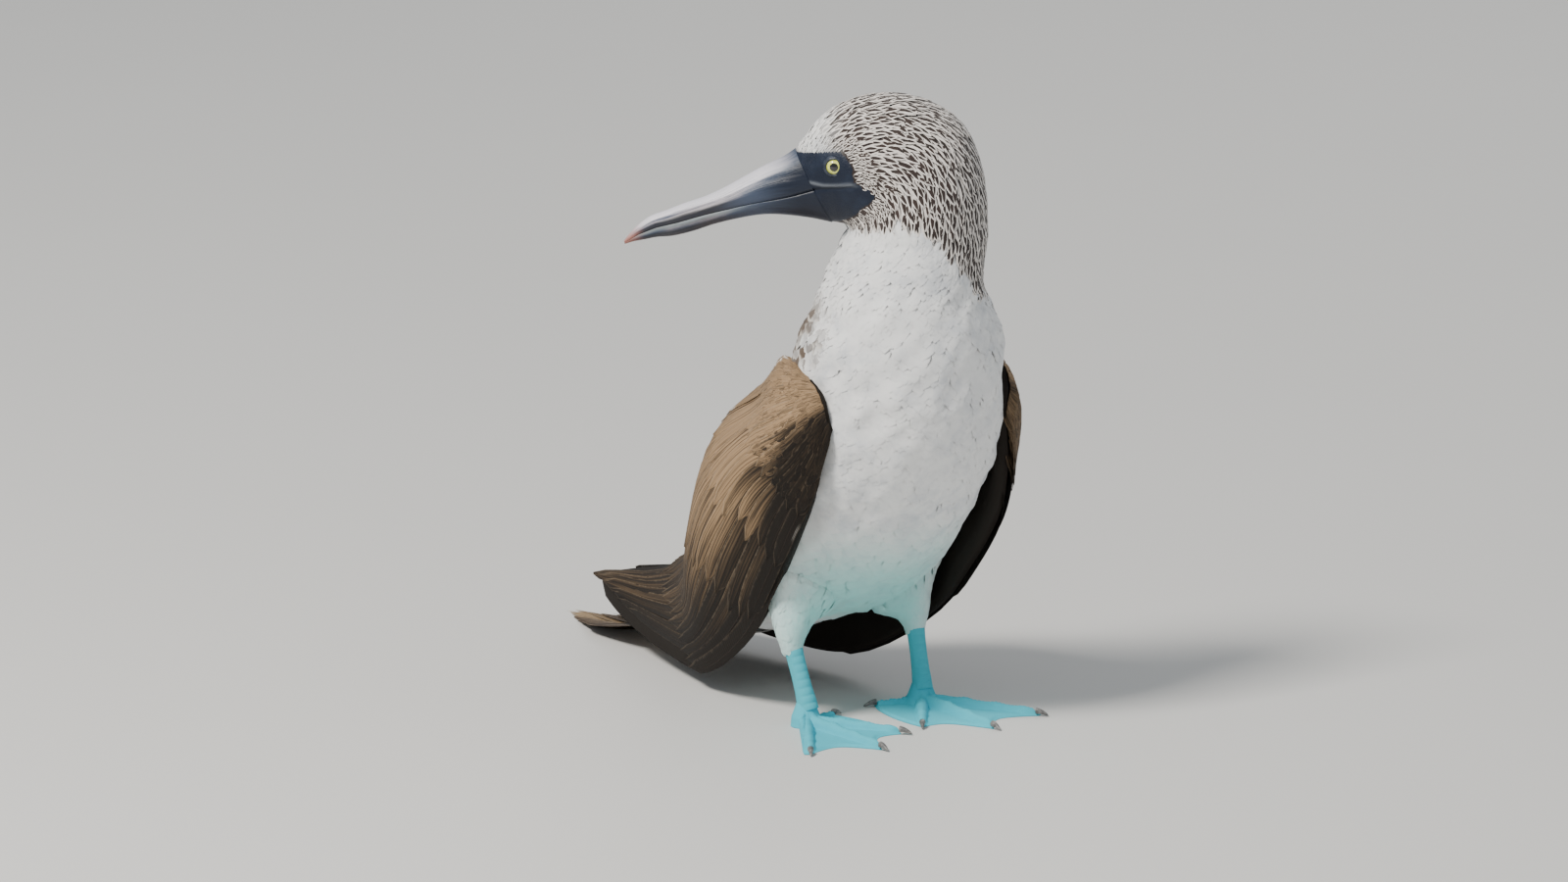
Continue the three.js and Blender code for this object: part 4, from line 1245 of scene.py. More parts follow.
def plain_paint(name, first, second, scale, roughness):
    """A two-toned surface with a fine grain."""
    paint = Paint(name)
    tone = paint.noise(scale, 4.0)
    return paint.finish(
        Base_Color=paint.mix(first, second, tone.above(0.35, 0.7)),
        Roughness=roughness,
        Normal=paint.bump(paint.noise(scale * 6, 3.0), 0.0002, 0.4),
    )


def shared(name, make, *settings, **more):
    """A material by name, made once."""
    return bpy.data.materials.get(name) or make(name, *settings, **more)


def unwrapped(rows, columns, low, high):
    """The map of a tube's points, its rings from low to high across the square."""
    u, v = np.linspace(low, high, rows), np.linspace(0.02, 0.98, columns)
    return with_ends(np.stack(np.meshgrid(u, v, indexing="ij"), -1))


class MakeSkin(bpy.types.Operator):
    """One skin over rump, body, neck, head and thighs, lying under the feathers and bare on the face."""

    bl_idname = "booby.skin"
    bl_label = "Skin"

    def execute(self, context):
        plumes, face = context.scene.booby_plumage, context.scene.booby_head
        depth, fold = self.depth(plumes.body_depth / MM, plumes.head_depth / MM)
        parts = [tube(BODY.points - BODY.normals * depth[..., None])]
        maps = [unwrapped(*depth.shape, *SKIN_MAP)]
        marks = [with_ends(markings(BODY.points, BODY.normals))]
        for start, sheet in zip(THIGH_MAPS, THIGHS.values()):
            parts.append(tube(sheet.points - sheet.normals * THIGH_COAT))
            maps.append(unwrapped(THIGH_RINGS, THIGH_SIDES, start, start + THIGH_MAP))
            marks.append(with_ends(markings(sheet.points, sheet.normals)))
        verts, faces = gather(parts)
        folds = np.zeros(len(verts))
        folds[: fold.size] = fold.ravel()
        fields = {"marks": np.concatenate(marks), "fold": folds}
        piece = build("skin", verts, faces, {"OFBake": np.concatenate(maps)}, fields)
        feathered = shared("skin_plumage", plumage, plumes, skin=True)
        place(piece, "plumage_body", feathered, "head", "neck", "torso", "thigh_left", "thigh_right")
        piece.data.materials.append(shared("face_skin", face_paint, face))
        quads = parts[0][1][0]
        picked = np.zeros(len(piece.data.polygons), np.int32)
        picked[: len(quads)] = outside_face(BODY.points.reshape(-1, 3)[quads].mean(1)) < 1.0
        piece.data.polygons.foreach_set("material_index", picked)
        return {"FINISHED"}

    def depth(self, body, head):
        """How far the skin lies under the feathers' form, and where the raised fold of the gape runs, which
        carries a painted highlight.
        """
        u = np.linspace(0, 1, BODY.points.shape[0])[:, None]
        depth = coat_depth(u, BODY.points, body, head)
        bare = smooth(1.2, -0.6, outside_face(BODY.points))
        f, g, _ = head_place(BODY.points)
        gape = bell(g - line_at(MOUTH, f), 0.9) * smooth(-8, -4, f) * bare
        fold = bell(g - line_at(GAPE_FOLD, f), 0.9) * smooth(-9, -3, f) * smooth(26, 16, f) * bare
        return depth * (1 - bare) + 0.9 * gape - 0.4 * fold, fold


class MakeBodyCoat(bpy.types.Operator):
    """Small feathers of the breast, belly, back, neck and head, tract by tract."""

    bl_idname = "booby.body_coat"
    bl_label = "Body feathers"

    def execute(self, context):
        plumes = context.scene.booby_plumage
        paint = shared("plumage", plumage, plumes)
        hidden = covered_by_wing()
        depths = (plumes.body_depth / MM, plumes.head_depth / MM)

        def front(at, normals):
            return (markings(at, normals)[:, 1] < 0.5) & ~hidden(at) & (outside_thighs(at) > -1)

        def back(at, normals):
            return (markings(at, normals)[:, 1] >= 0.12) & ~hidden(at)

        def feathered(at):
            f, g, _ = head_place(at)
            return (outside_face(at) > 0.3) & (np.hypot(f, g) > PINCH)

        def white_neck(at, _):
            return feathered(at) & (above_ruff(at) < 9)

        def crowned(at, _):
            return feathered(at) & (outside_face(at) > 4) & (above_ruff(at) > 4)

        def beside_face(at, _):
            return feathered(at) & (outside_face(at) < 9) & (above_ruff(at) > 2)

        pointed = {"rounding": 0.35, "power": 1.4, "swirl": 0.2}
        body_coat(
            "coat_breast", "plumage_body", paint, depths, front, seed=11, span=(0.03, NECK_SHARE * 0.9),
            gap=3.4, across=3.8, size=plumes.breast_length / MM, width=7.6, soft=0.88,
            camber=0.12, swirl=0.2, ragged=0.1,
        )
        body_coat(
            "coat_mantle", "plumage_body", paint, depths, back, seed=12, span=(0.02, NECK_SHARE * 0.96),
            gap=4.8, across=5.6, size=plumes.mantle_length / MM, width=9.0, soft=0.4, camber=0.4,
        )
        body_coat(
            "coat_neck", "plumage_neck", paint, depths, white_neck, seed=13,
            span=(NECK_SHARE * 0.84, NECK_SHARE + 0.3), gap=2.7, across=2.8, size=plumes.neck_length / MM,
            width=4.8, soft=0.88, camber=0.1, swirl=0.15, ragged=0.08,
        )
        body_coat(
            "coat_head", "plumage_head", paint, depths, crowned, seed=14, span=(NECK_SHARE - 0.12, 1.0),
            gap=4.6, across=3.1, size=plumes.head_length / MM, width=4.2, soft=0.5, camber=0.45,
            columns=(-1, -0.5, 0, 0.5, 1), **pointed,
        )
        body_coat(
            "coat_face", "plumage_head", paint, depths, beside_face, seed=15, span=(NECK_SHARE + 0.1, 1.0),
            gap=2.3, across=1.9, size=plumes.face_length / MM, width=2.5, soft=0.5, camber=0.25,
            ragged=0.15, **pointed,
        )
        for name, sheet in THIGHS.items():
            self.thigh(name, sheet, paint)
        return {"FINISHED"}

    def thigh(self, name, sheet, paint):
        rng = np.random.default_rng(404 if name == "left" else 405)
        count, roots = THIGH_ACROSS, []
        for row in range(THIGH_ROWS):
            v = (np.arange(count) + 0.5 * (row % 2) + rng.uniform(-0.25, 0.25, count)) / count % 1
            u = 0.19 + 0.77 * row / THIGH_ROWS + rng.uniform(-0.012, 0.012, count)
            roots.append(np.stack([u, v], 1))
        roots = np.concatenate(roots)
        at = sheet.at(sheet.points, roots[:, 0], roots[:, 1])
        roots = roots[outside_body(at) > -3]
        size = 6.5 + 5 * smooth(0.2, 0.5, roots[:, 0])
        style = {"rounding": 0.4, "ragged": 0.25, "camber": 0.2}
        lot, _ = small_feathers(sheet, rng, roots, size, 5.6, THIGH_COAT, **style)
        at, normals = (sheet.at(values, *roots.T) for values in (sheet.points, sheet.normals))
        # The thighs keep only the painted turquoise reflection from the marks.
        marks = markings(at, normals) * [0, 0, 1]
        piece = coat("coat_thigh_" + name, [(lot, marks, rng.random(len(roots)), roots)], 0.75)
        place(piece, "plumage_thigh", paint)




def wing_marks(lot, rng, side):
    """Tan with painted sunlight, white and pale edge of the wing's feathers, by where each point lies on it.
    """
    u, v = lot.spots.T
    each = np.repeat(rng.uniform(-0.05, 0.05, len(u) // lot.each), lot.each)
    border = line_at(SUNLIT, u) - v + each
    # Partly the upper feathers' own tan, partly painted sunlight above the border and painted shade below
    # it, darker towards the tip.
    light = smooth(-0.11, 0.13, border) * (1 - 0.78 * smooth(0.28, 0.62, u))
    # Painted light on the wrist, stronger on the left wing.
    light = np.maximum(light, (0.1 + 0.4 * (side > 0)) * smooth(0.22, 0.10, u + each))
    shoulder = bell(v - line_at(SHOULDER, u) + each * 0.3, 0.02)
    shoulder = shoulder * smooth(0.07, 0.11, u) * smooth(0.39, 0.36, u)
    patch = bell(u - 0.23, 0.045) * smooth(0.95, 0.985, v) * 0.4
    # The pale edges show more where the painted sunlight falls.
    return np.stack([light, np.maximum(shoulder, patch), 0.1 + 0.4 * light], 1)


def wing_tract(lot, rng, side, root_u, root_v):
    """A lot of the wing's feathers with its marks, its seeds and its roots."""
    marks = wing_marks(lot, rng, side)
    return lot, marks, rng.random(len(root_u)), np.concatenate([root_u, root_v], 1)


class MakeWings(bpy.types.Operator):
    """Both folded wings: the wing's own body, then tiers of long feathers, coverts and scapulars."""

    bl_idname = "booby.wings"
    bl_label = "Wings"

    def execute(self, context):
        settings = context.scene.booby_wing
        paint = shared("wing_feathers", wing_paint, settings)
        for name, side in (("left", 1), ("right", -1)):
            self.core(name, WINGS[side], paint)
            self.long_feathers(name, side, WINGS[side], paint)
            self.coverts(name, side, WINGS[side], paint, settings.lesser)
        return {"FINISHED"}

    def core(self, name, sheet, paint):
        """The wing's body, which the feathers grow from."""
        rows, columns = WING_BODY["rows"], WING_BODY["columns"]
        u = np.linspace(0.0, WING_BODY["end"], rows)[:, None] + np.zeros(columns)
        v = np.linspace(0.02, 0.98, columns) + 0 * u
        thick = 1.2 + 12 * (1 - smooth(0.35, 0.6, u))
        top = sheet.at(sheet.points, u, v) - sheet.at(sheet.normals, u, v) * WING_BODY["under"]
        edge = np.sin(math.pi * (0.08 + 0.84 * v)) ** 0.5
        under = top - sheet.at(sheet.normals, u, v) * (thick * edge)[..., None]
        verts, faces = tube(np.concatenate([top, under[:, ::-1]], 1))
        verts[:, 2] = np.maximum(verts[:, 2], FLOOR_SOFT)
        flat = np.stack([u, v], -1)
        flat = with_ends(np.concatenate([flat, flat[:, ::-1]], 1))
        fields = {"marks": np.zeros((len(verts), 3)), "seed": np.full(len(verts), 0.3)}
        maps = {"OFBake": flat * 0.96 + 0.02, "Vane": flat * 0 + 0.4}
        place(build("wing_body_" + name, verts, faces, maps, fields), "wing", paint, "wing_" + name)

    def long_feathers(self, name, side, sheet, paint):
        rng = np.random.default_rng(101 + side)
        tracts = []
        s = np.linspace(0, 1, 12)
        for tier in WING_TIERS:
            shape = (tier.count, 1)
            order = np.linspace(0, 1, tier.count)[:, None]
            root_v = between(tier.across, order) + rng.uniform(-0.008, 0.008, shape)
            tip_v = 0.5 + (root_v - 0.5) * tier.draw + rng.uniform(-0.012, 0.012, shape)
            root_u = between(tier.roots, order) + rng.uniform(-0.006, 0.006, shape)
            tip_u = between(tier.tips, order) + rng.uniform(-0.014, 0.014, shape)
            u = root_u + (np.minimum(tip_u, 0.999) - root_u) * s
            v = root_v + (tip_v - root_v) * s
            width = tier.half * rng.uniform(0.93, 1.07, shape)
            width = width * blade(s, root=0.7, rounding=0.72, power=2.2)
            rise = between((TIER_ROOT, tier.rise), smooth(0, 0.25, s)) + rng.uniform(-0.12, 0.12, shape)
            columns, tilt = np.linspace(-1, 1, 7), np.full(tier.count, 0.5)
            lot = feathers(sheet, s, u, v, width, rise, columns, tier.camber, tilt, flat=False)
            tracts.append(wing_tract(lot, rng, side, root_u, root_v))
        place(coat("wing_long_" + name, tracts, soft=0.2), "wing", paint)

    def coverts(self, name, side, sheet, paint, rows):
        """Small feathers of the fore wing, and scapulars over its upper edge."""
        rng = np.random.default_rng(202 + side)
        tracts = []
        columns = (-1, -0.5, 0, 0.5, 1)
        s = VANE_STEPS
        count = LESSER["across"]
        for row in range(rows):
            order = (np.arange(count) + 0.5 * (row % 2))[:, None] / count
            u0 = LESSER["start"] + LESSER["step"] * row + rng.uniform(-0.003, 0.003, (count, 1))
            v0 = 0.03 + 0.94 * order + rng.uniform(-0.006, 0.006, (count, 1))
            u = u0 + LESSER["reach"] * rng.uniform(0.9, 1.15, (count, 1)) * s
            width = LESSER["half"] * blade(s) * rng.uniform(0.9, 1.1, (count, 1))
            rise = -2.6 + 3.2 * smooth(0, 0.7, s) + rng.uniform(-0.2, 0.3, (count, 1))
            tilt = rng.uniform(-0.1, 0.2, count)
            lot = feathers(sheet, s, u, v0 + 0 * s, width, rise, columns, 0.3, tilt)
            tracts.append(wing_tract(lot, rng, side, u0, v0))
        bands, count = SCAPULARS["bands"], SCAPULARS["count"]
        v_first, v_last = SCAPULARS["v"]
        for band in range(bands):
            t = rng.uniform(0, 1, (count, 1))
            root_u = between(SCAPULARS["u"], t)
            step = (band + rng.uniform(0.1, 0.9, (count, 1))) / bands
            root_v = v_first + (v_last - v_first) * step * (1 - 0.4 * t)
            u = root_u + (0.13 + 0.08 * t) * s
            width = SCAPULARS["half"] * blade(s, rounding=0.55) * rng.uniform(0.9, 1.1, (count, 1))
            lap = 2.4 + 0.25 * (bands - 1 - band)
            rise = -1.5 + lap * smooth(0, 0.6, s) + rng.uniform(-0.2, 0.3, (count, 1))
            lot = feathers(sheet, s, u, root_v + 0.02 * s, width, rise, columns, 0.45, np.full(count, 0.15))
            tracts.append(wing_tract(lot, rng, side, root_u, root_v))
        place(coat("wing_coverts_" + name, tracts, soft=0.3), "wing", paint)


class MakeTail(bpy.types.Operator):
    """Pointed tail feathers laid along the ground, with coverts over and under their roots."""

    bl_idname = "booby.tail"
    bl_label = "Tail"

    def execute(self, context):
        paint = shared("tail_feathers", wing_paint, context.scene.booby_wing, tail=True)
        rng = np.random.default_rng(303)
        tracts = []
        s = np.linspace(0, 1, 16)
        ys = np.array(TAIL_LINE, float)[:, 0]
        near, far = TAIL_PAIRS["spread"]
        for i in range(TAIL_PAIRS["count"]):
            tip_y = TAIL_PAIRS["tip"] - TAIL_PAIRS["step"] * i - (rng.uniform(0, 3) if i else 0)
            for side in (1, -1):
                y = TAIL_PAIRS["root"] + (tip_y - TAIL_PAIRS["root"]) * s[None]
                u = np.interp(y, ys, np.linspace(0, 1, len(ys)))
                x = 0.8 + near * (i + 0.4) + (far - near) * (i + 0.5) * s + 4 * s * (1 - s)
                v = 0.5 + side * x[None] / (2 * TAIL_HALF)
                half = TAIL_PAIRS["half"] * blade(s[None], root=0.6, rounding=0.6, power=1.25, tip=0.04)
                rise = 1.0 + (6 - i) * 0.62 * (1 - smooth(0.75, 1, s[None])) + 0.25 * (side > 0) * (i == 0)
                columns, tilt = np.linspace(-1, 1, 7), np.array([-0.25 * side])
                lot = feathers(TAIL, s, u, v, half, rise, columns, 0.45, tilt, flat=False)
                gold = (1.0, 0.55, 0.12)[min(i, 2)]
                tips = smooth(0.93, 1.0, lot.local[:, 0]) * gold
                marks = np.stack([0 * tips + gold, tips, 0 * tips + 0.5], 1)
                tracts.append((lot, marks, rng.random(1), np.array([[0.2 + 0.08 * i, 0.5 + side * 0.3]])))
        place(coat("tail_feathers", tracts, soft=0.15), "tail", paint, "tail")
        self.coverts(context, rng)
        return {"FINISHED"}

    def coverts(self, context, rng):
        """Short feathers over and under the roots of the tail."""
        paint = shared("plumage", plumage, context.scene.booby_plumage)
        s = VANE_STEPS[None]
        tracts = []
        count = TAIL_COVERTS["count"]
        for upper in (True, False):
            u0 = rng.uniform(-0.02, 0.3, (count, 1))
            v0 = 0.5 + rng.uniform(-0.33, 0.33, (count, 1))
            u, v = u0 + TAIL_COVERTS["reach"] * s, v0 + 0 * s
            half = TAIL_COVERTS["half"] * blade(s, rounding=0.4) * np.ones((count, 1))
            body = np.maximum(1 - (np.abs(v - 0.5) / 0.36) ** 2, 0) ** 0.5
            thick = 13.0 * smooth(0.42, 0.02, u) * body
            rise = (5.0 * smooth(0.5, 0.3, u) + thick + 0.6) if upper else (-0.3 - thick * 0.12)
            rise = rise + rng.uniform(-0.4, 0.4, (count, 1))
            lot = feathers(TAIL, VANE_STEPS, u, v, half, rise, (-1, 0, 1), 0.4 if upper else -0.4)
            brown = np.full((count, 1), 0.75 if upper else 0.12)
            marks = np.concatenate([0 * brown, brown, 0 * brown], 1)
            roots = np.concatenate([np.clip(u0, 0, 1), v0], 1)
            tracts.append((lot, marks, rng.random(count), roots))
        place(coat("tail_coverts", tracts, soft=0.4), "tail", paint)


class MakeBill(bpy.types.Operator):
    """Upper and lower halves of the bill, meeting along the line of the mouth."""

    bl_idname = "booby.bill"
    bl_label = "Bill"

    def execute(self, context):
        paint = shared("bill_horn", bill_paint, context.scene.booby_head)
        t = np.linspace(0.0, 1, BILL_RINGS)
        rows = rows_at(BILL, t)
        top, bottom, half = rows[:, :2], rows[:, 2:4], rows[:, 4]
        share = np.linspace(0, 1, 60)
        ladder = bottom[:, None] + (top - bottom)[:, None] * share[:, None]
        gap = np.abs(ladder[..., 1] - line_at(MOUTH, ladder[..., 0]))
        mouth = np.clip(share[gap.argmin(1)], 0.12, 0.88)
        mouth = np.convolve(np.pad(mouth, 4, mode="edge"), np.ones(9) / 9, "valid")
        for upper, node in ((True, "bill_upper"), (False, "bill_lower")):
            rings, horn, grain = self.half(upper, t, top, bottom, half, mouth)
            verts, faces = tube(rings)
            fields = {"horn": with_ends(horn), "grain": with_ends(grain)}
            flat = np.stack([fields["horn"][:, 0], fields["grain"][:, 2]], 1) * 0.9 + 0.05
            place(build(node + "_horn", verts, faces, {"OFBake": flat}, fields), node, paint, node)
        return {"FINISHED"}

    def half(self, upper, t, top, bottom, half, mouth):
        """Rings of one half: an arc over the outside, closed by the face inside the mouth."""
        cut = np.arccos(np.clip(2 * mouth - 1, -1, 1))[:, None]  # angle from the ridge down to the mouth
        steps = np.linspace(-1, 1, BILL_SIDES)
        angle = cut * steps if upper else math.pi + (math.pi - cut) * steps
        height = (np.cos(angle) + 1) / 2
        long = t[:, None] + 0 * steps
        if upper:
            groove = 0.55 * bell(np.abs(angle) - 1.05, 0.13)
            groove = groove * smooth(0.02, 0.12, long) * smooth(0.8, 0.6, long)
            share = (height - mouth[:, None]) / (1 - mouth[:, None])
        else:
            groove = 0.3 * bell(np.abs(angle - math.pi) - 0.75, 0.16) * smooth(0.0, 0.1, long)
            groove = groove * smooth(0.8, 0.5, long)
            share = (mouth[:, None] - height) / mouth[:, None]
        inset = np.where(np.abs(steps) > 0.985, 0.3, 0.0)
        across = np.sin(angle) * (half[:, None] - groove - inset)
        height = height + (LIP_GAP if upper else -LIP_GAP)
        spot = bottom[:, None] + (top - bottom)[:, None] * height[..., None]
        rings = in_head(spot[..., 0], spot[..., 1], across)
        horn = np.stack([long, np.clip(share, 0, 1), 0 * long + upper], -1)
        grain = np.stack([long * 1.6, angle * 2.6, (steps[None] + 1) / 2 + 0 * long], -1)
        return rings, horn, grain


class MakeEyes(bpy.types.Operator):
    """Both eyes with a raised cornea, and the ring of bare lid round each."""

    bl_idname = "booby.eyes"
    bl_label = "Eyes"

    def execute(self, context):
        settings = context.scene.booby_head
        wet = shared("eye_wet", eye_paint, settings)
        lid = shared("eyelid_skin", plain_paint, LID_DARK, LID_LIGHT, 300.0, 0.45)
        for name, side in (("left", 1), ("right", -1)):
            axis = ACROSS * side * math.cos(EYE["turn"]) + FORWARD * math.sin(EYE["turn"])
            first = unit(np.cross(UP, axis))
            second = np.cross(axis, first)
            self.ball(name, side, (first, second, axis), wet)
            self.lids(name, side, (first, second, axis), settings, lid)
        return {"FINISHED"}

    def rings(self, side, axes, polar, reach, turn):
        """Rings round an eye's axis, by angle from it and distance from the eye's middle."""
        first, second, axis = axes
        spokes = first * np.cos(turn)[:, None] + second * np.sin(turn)[:, None]
        rings = np.cos(polar)[..., None] * axis + np.sin(polar)[..., None] * spokes
        return reach[..., None] * rings + eye_middle(side)

    def ball(self, name, side, axes, paint):
        polar = np.linspace(0.02, math.pi - 0.02, BALL_RINGS)[:, None]
        turn = turns_of(BALL_SIDES)
        radius = EYE["radius"] + CORNEA * smooth(0.62, 0.3, polar)
        verts, faces = tube(self.rings(side, axes, polar + 0 * turn, radius + 0 * turn, turn))
        piece = build("eye_ball_" + name, verts, faces)
        turned = Matrix.Identity(4)
        for k, column in enumerate((*axes, (eye_middle(side) + ORIGIN) * MM)):
            for row in range(3):
                turned[row][k] = column[row]
        piece.data.transform(turned.inverted())
        piece.matrix_world = turned
        place(piece, "eye", paint, "eye_" + name)

    def lids(self, name, side, axes, settings, paint):
        """A soft rolled ring that follows the ball and sinks under the skin of the face."""
        edge = math.asin(settings.iris_radius / MM / EYE["radius"])
        polar = (edge + np.array(LID_TURN))[:, None]
        reach = (EYE["radius"] + np.array(LID_REACH))[:, None]
        turn = turns_of(LID_SIDES)
        outer = np.arange(len(LID_TURN))[:, None] > 2
        reach = reach * (1 + 0.012 * np.cos(9 * turn) * outer)
        rings = self.rings(side, axes, polar * (1 + 0.05 * np.cos(2 * turn)), reach, turn)
        rows, columns = rings.shape[:2]
        verts = rings.reshape(-1, 3)
        close = grid_faces(2, columns, wrap=True)
        close = np.where(close >= columns, close - columns, close + (rows - 1) * columns)
        faces = facing_out(verts, [grid_faces(rows, columns, wrap=True), close])
        place(build("eyelid_" + name, verts, faces), "plumage_head", paint)


class MakeLegs(bpy.types.Operator):
    """Bare scaly shanks, with broad scutes down the front."""

    bl_idname = "booby.legs"
    bl_label = "Legs"

    def execute(self, context):
        settings = context.scene.booby_leg
        bare = shared("leg_skin", leg_paint, settings, settings.leg)
        for name, leg in LEGS.items():
            self.shank(name, leg, bare)
        return {"FINISHED"}

    def shank(self, name, leg, paint):
        heights = np.linspace(SHANK[0][0], SHANK[-1][0], SHANK_RINGS)
        (kx, ky), (ax, ay) = leg["knee"], leg["ankle"]
        t = (heights - ANKLE_TOP) / (THIGH_BOTTOM - ANKLE_TOP)
        middle = np.stack([ax + (kx - ax) * t, ay + (ky - ay) * t, heights], 1)
        rings = limb(middle, np.interp(heights, *zip(*SHANK)), SHANK_SIDES)
        out = unit(rings - rings.mean(1, keepdims=True))
        fore = smooth(0.35, 0.8, -out[..., 1])
        scutes = np.abs(np.sin(heights * math.pi / SCUTE))[:, None] ** 0.35
        wrinkles = 0.12 * np.sin(turns_of(SHANK_SIDES) * 11) * (1 - fore)
        rings = rings + out * ((scutes - 0.8) * 0.5 * fore + wrinkles)[..., None]
        verts, faces = tube(rings)
        ridge = with_ends((scutes * fore)[..., None])
        fields = {"skin": ridge * [0.6, 0, 0]}
        maps = {"OFBake": unwrapped(SHANK_RINGS, SHANK_SIDES, 0.02, 0.98)}
        place(build("shank_skin_" + name, verts, faces, maps, fields), "leg_skin", paint, "shank_" + name)


class MakeFeet(bpy.types.Operator):
    """Webbed feet: one skin over toes, joints and webs, flat beneath, with claws."""

    bl_idname = "booby.feet"
    bl_label = "Feet"

    def execute(self, context):
        settings = context.scene.booby_leg
        skin = shared("foot_skin", leg_paint, settings, settings.foot)
        horn = shared("claw_horn", plain_paint, settings.claw, CLAW_LIGHT, 400.0, 0.35)
        for name, leg in LEGS.items():
            self.foot(name, leg, skin, settings.web_depth / MM)
            self.claws(name, leg, horn)
        return {"FINISHED"}

    def outline(self, turns):
        """How far the web reaches from the ankle in each direction."""
        reach = np.full(turns.shape, HEEL)
        for (a, la, *_), (b, lb, *_) in zip(TOES, TOES[1:]):
            s = (turns - a) / (b - a)
            scallop = 1 - 0.22 * np.sin(math.pi * np.clip(s, 0, 1)) ** 0.8
            reach = np.where((s >= 0) & (s <= 1), (la + (lb - la) * s) * 0.97 * scallop, reach)
        for k, (angle, long, root, _) in ((1, TOES[0]), (-1, TOES[-1])):
            away = np.clip(k * (turns - angle), 0, 90)
            side = (root * 0.8 + 0.4) / np.maximum(np.sin(np.radians(away)), 1e-3)
            reach = np.where(k * (turns - angle) > 0, np.clip(side, HEEL - 0.6, long * 0.97), reach)
        return reach

    def heights(self, turns, rho, x, y, web_depth):
        """Height of the foot's upper face, and how far each point lies on a toe."""
        between = np.zeros(rho.shape)
        for (a, *_), (b, *_) in zip(TOES, TOES[1:]):
            s = np.clip((turns - a) / (b - a), 0, 1)
            between += np.sin(math.pi * s) * np.cos(6 * math.pi * s) * 0.3
        height = web_depth + np.maximum(between, -0.5) * smooth(10, 35, rho)
        ridge = np.zeros(rho.shape)
        for toe, long, root, tip in TOES:
            c, d = math.cos(math.radians(toe)), math.sin(math.radians(toe))
            run, off = x * d + y * c, np.abs(x * c - y * d)
            part = np.clip(run / long, 0, 1)
            knobs = sum(bell(part - k, 0.05) for k in (0.36, 0.62, 0.84))
            radius = (root + (tip - root) * part) * (1 + 0.14 * knobs) * smooth(1.06, 0.93, run / long)
            inside = np.clip(1 - (off / np.maximum(radius, 0.1)) ** 2, 0, 1) * (run > -2)
            creases = 1 + 0.04 * np.sin(run * 2.6) * inside
            height = np.maximum(height, radius * 1.55 * inside**0.5 * creases)
            ridge = np.maximum(ridge, inside * smooth(0, 0.2, part))
        hub = ANKLE - (ANKLE - 1.5) * smooth(*HUB, rho) ** 0.6
        return np.minimum(np.maximum(height, hub), ANKLE), ridge

    def foot(self, name, leg, paint, web_depth):
        near_toes = [turn + np.linspace(-TOE_SPREAD, TOE_SPREAD, TOE_SIDES) for turn, *_ in TOES]
        all_round = np.linspace(-260, 99.5, FOOT_SIDES, endpoint=False)
        turns = np.sort(np.concatenate([all_round, *near_toes]))
        share = np.linspace(0.02, 1, FOOT_RINGS) ** 0.9
        rho = self.outline(turns)[:, None] * share
        angle = np.radians(turns)[:, None]
        x, y = rho * np.sin(angle), rho * np.cos(angle)
        height, ridge = self.heights(turns[:, None], rho, x, y, web_depth)
        height = height * smooth(1.0, 0.94, share) + 0.25 * smooth(0.94, 1.0, share)
        (ax, ay), heading = leg["ankle"], math.radians(leg["turn"])
        c, d = math.cos(heading), math.sin(heading)
        spots = np.stack([ax + leg["side"] * (x * c + y * d), ay - y * c + x * d], -1)
        n, m = rho.shape
        top = np.concatenate([spots, height[..., None]], -1).reshape(-1, 3)
        sole = np.concatenate([spots, np.full((n, m, 1), SOLE)], -1).reshape(-1, 3)
        verts = np.concatenate([top, sole, [[ax, ay, ANKLE], [ax, ay, SOLE]]])
        upper = np.arange(n * m).reshape(n, m).T.ravel()[grid_faces(m, n, wrap=True)]
        heart = np.arange(n) * m
        rim, after, following = heart + m - 1, np.roll(heart + m - 1, -1), np.roll(heart, -1)
        faces = [
            upper,
            upper[:, ::-1] + n * m,
            np.stack([rim + n * m, after + n * m, after, rim], 1),
            np.stack([np.full(n, 2 * n * m), heart, following], 1),
            np.stack([np.full(n, 2 * n * m + 1), following + n * m, heart + n * m], 1),
        ]
        plan = np.concatenate([np.stack([x, y], -1).reshape(-1, 2)] * 2 + [np.zeros((2, 2))]) / 200 + 0.5
        skin = np.zeros((len(verts), 3))
        skin[: n * m, 0] = ridge.ravel()
        faces = facing_out(verts, faces)
        piece = build("foot_skin_" + name, verts, faces, {"OFBake": plan}, {"skin": skin})
        place(piece, "foot_skin", paint, "foot_" + name)

    def claws(self, name, leg, paint):
        parts = []
        s = np.linspace(0, 1, 14)
        for turn, long, *_ in TOES:
            angle = math.radians(turn + leg["turn"])
            out = long * 0.95 + CLAW["length"] * s
            z = 0.7 + 2.2 * (1 - s**2)
            x = leg["ankle"][0] + leg["side"] * out * math.sin(angle)
            y = leg["ankle"][1] - out * math.cos(angle)
            radii = np.minimum(CLAW["root"] * (1 - s) ** 0.6 + 0.12, z - 0.05)
            parts.append(tube(limb(np.stack([x, y, z], 1), radii, 20)))
        place(build("claws_" + name, *gather(parts)), "foot_skin", paint)


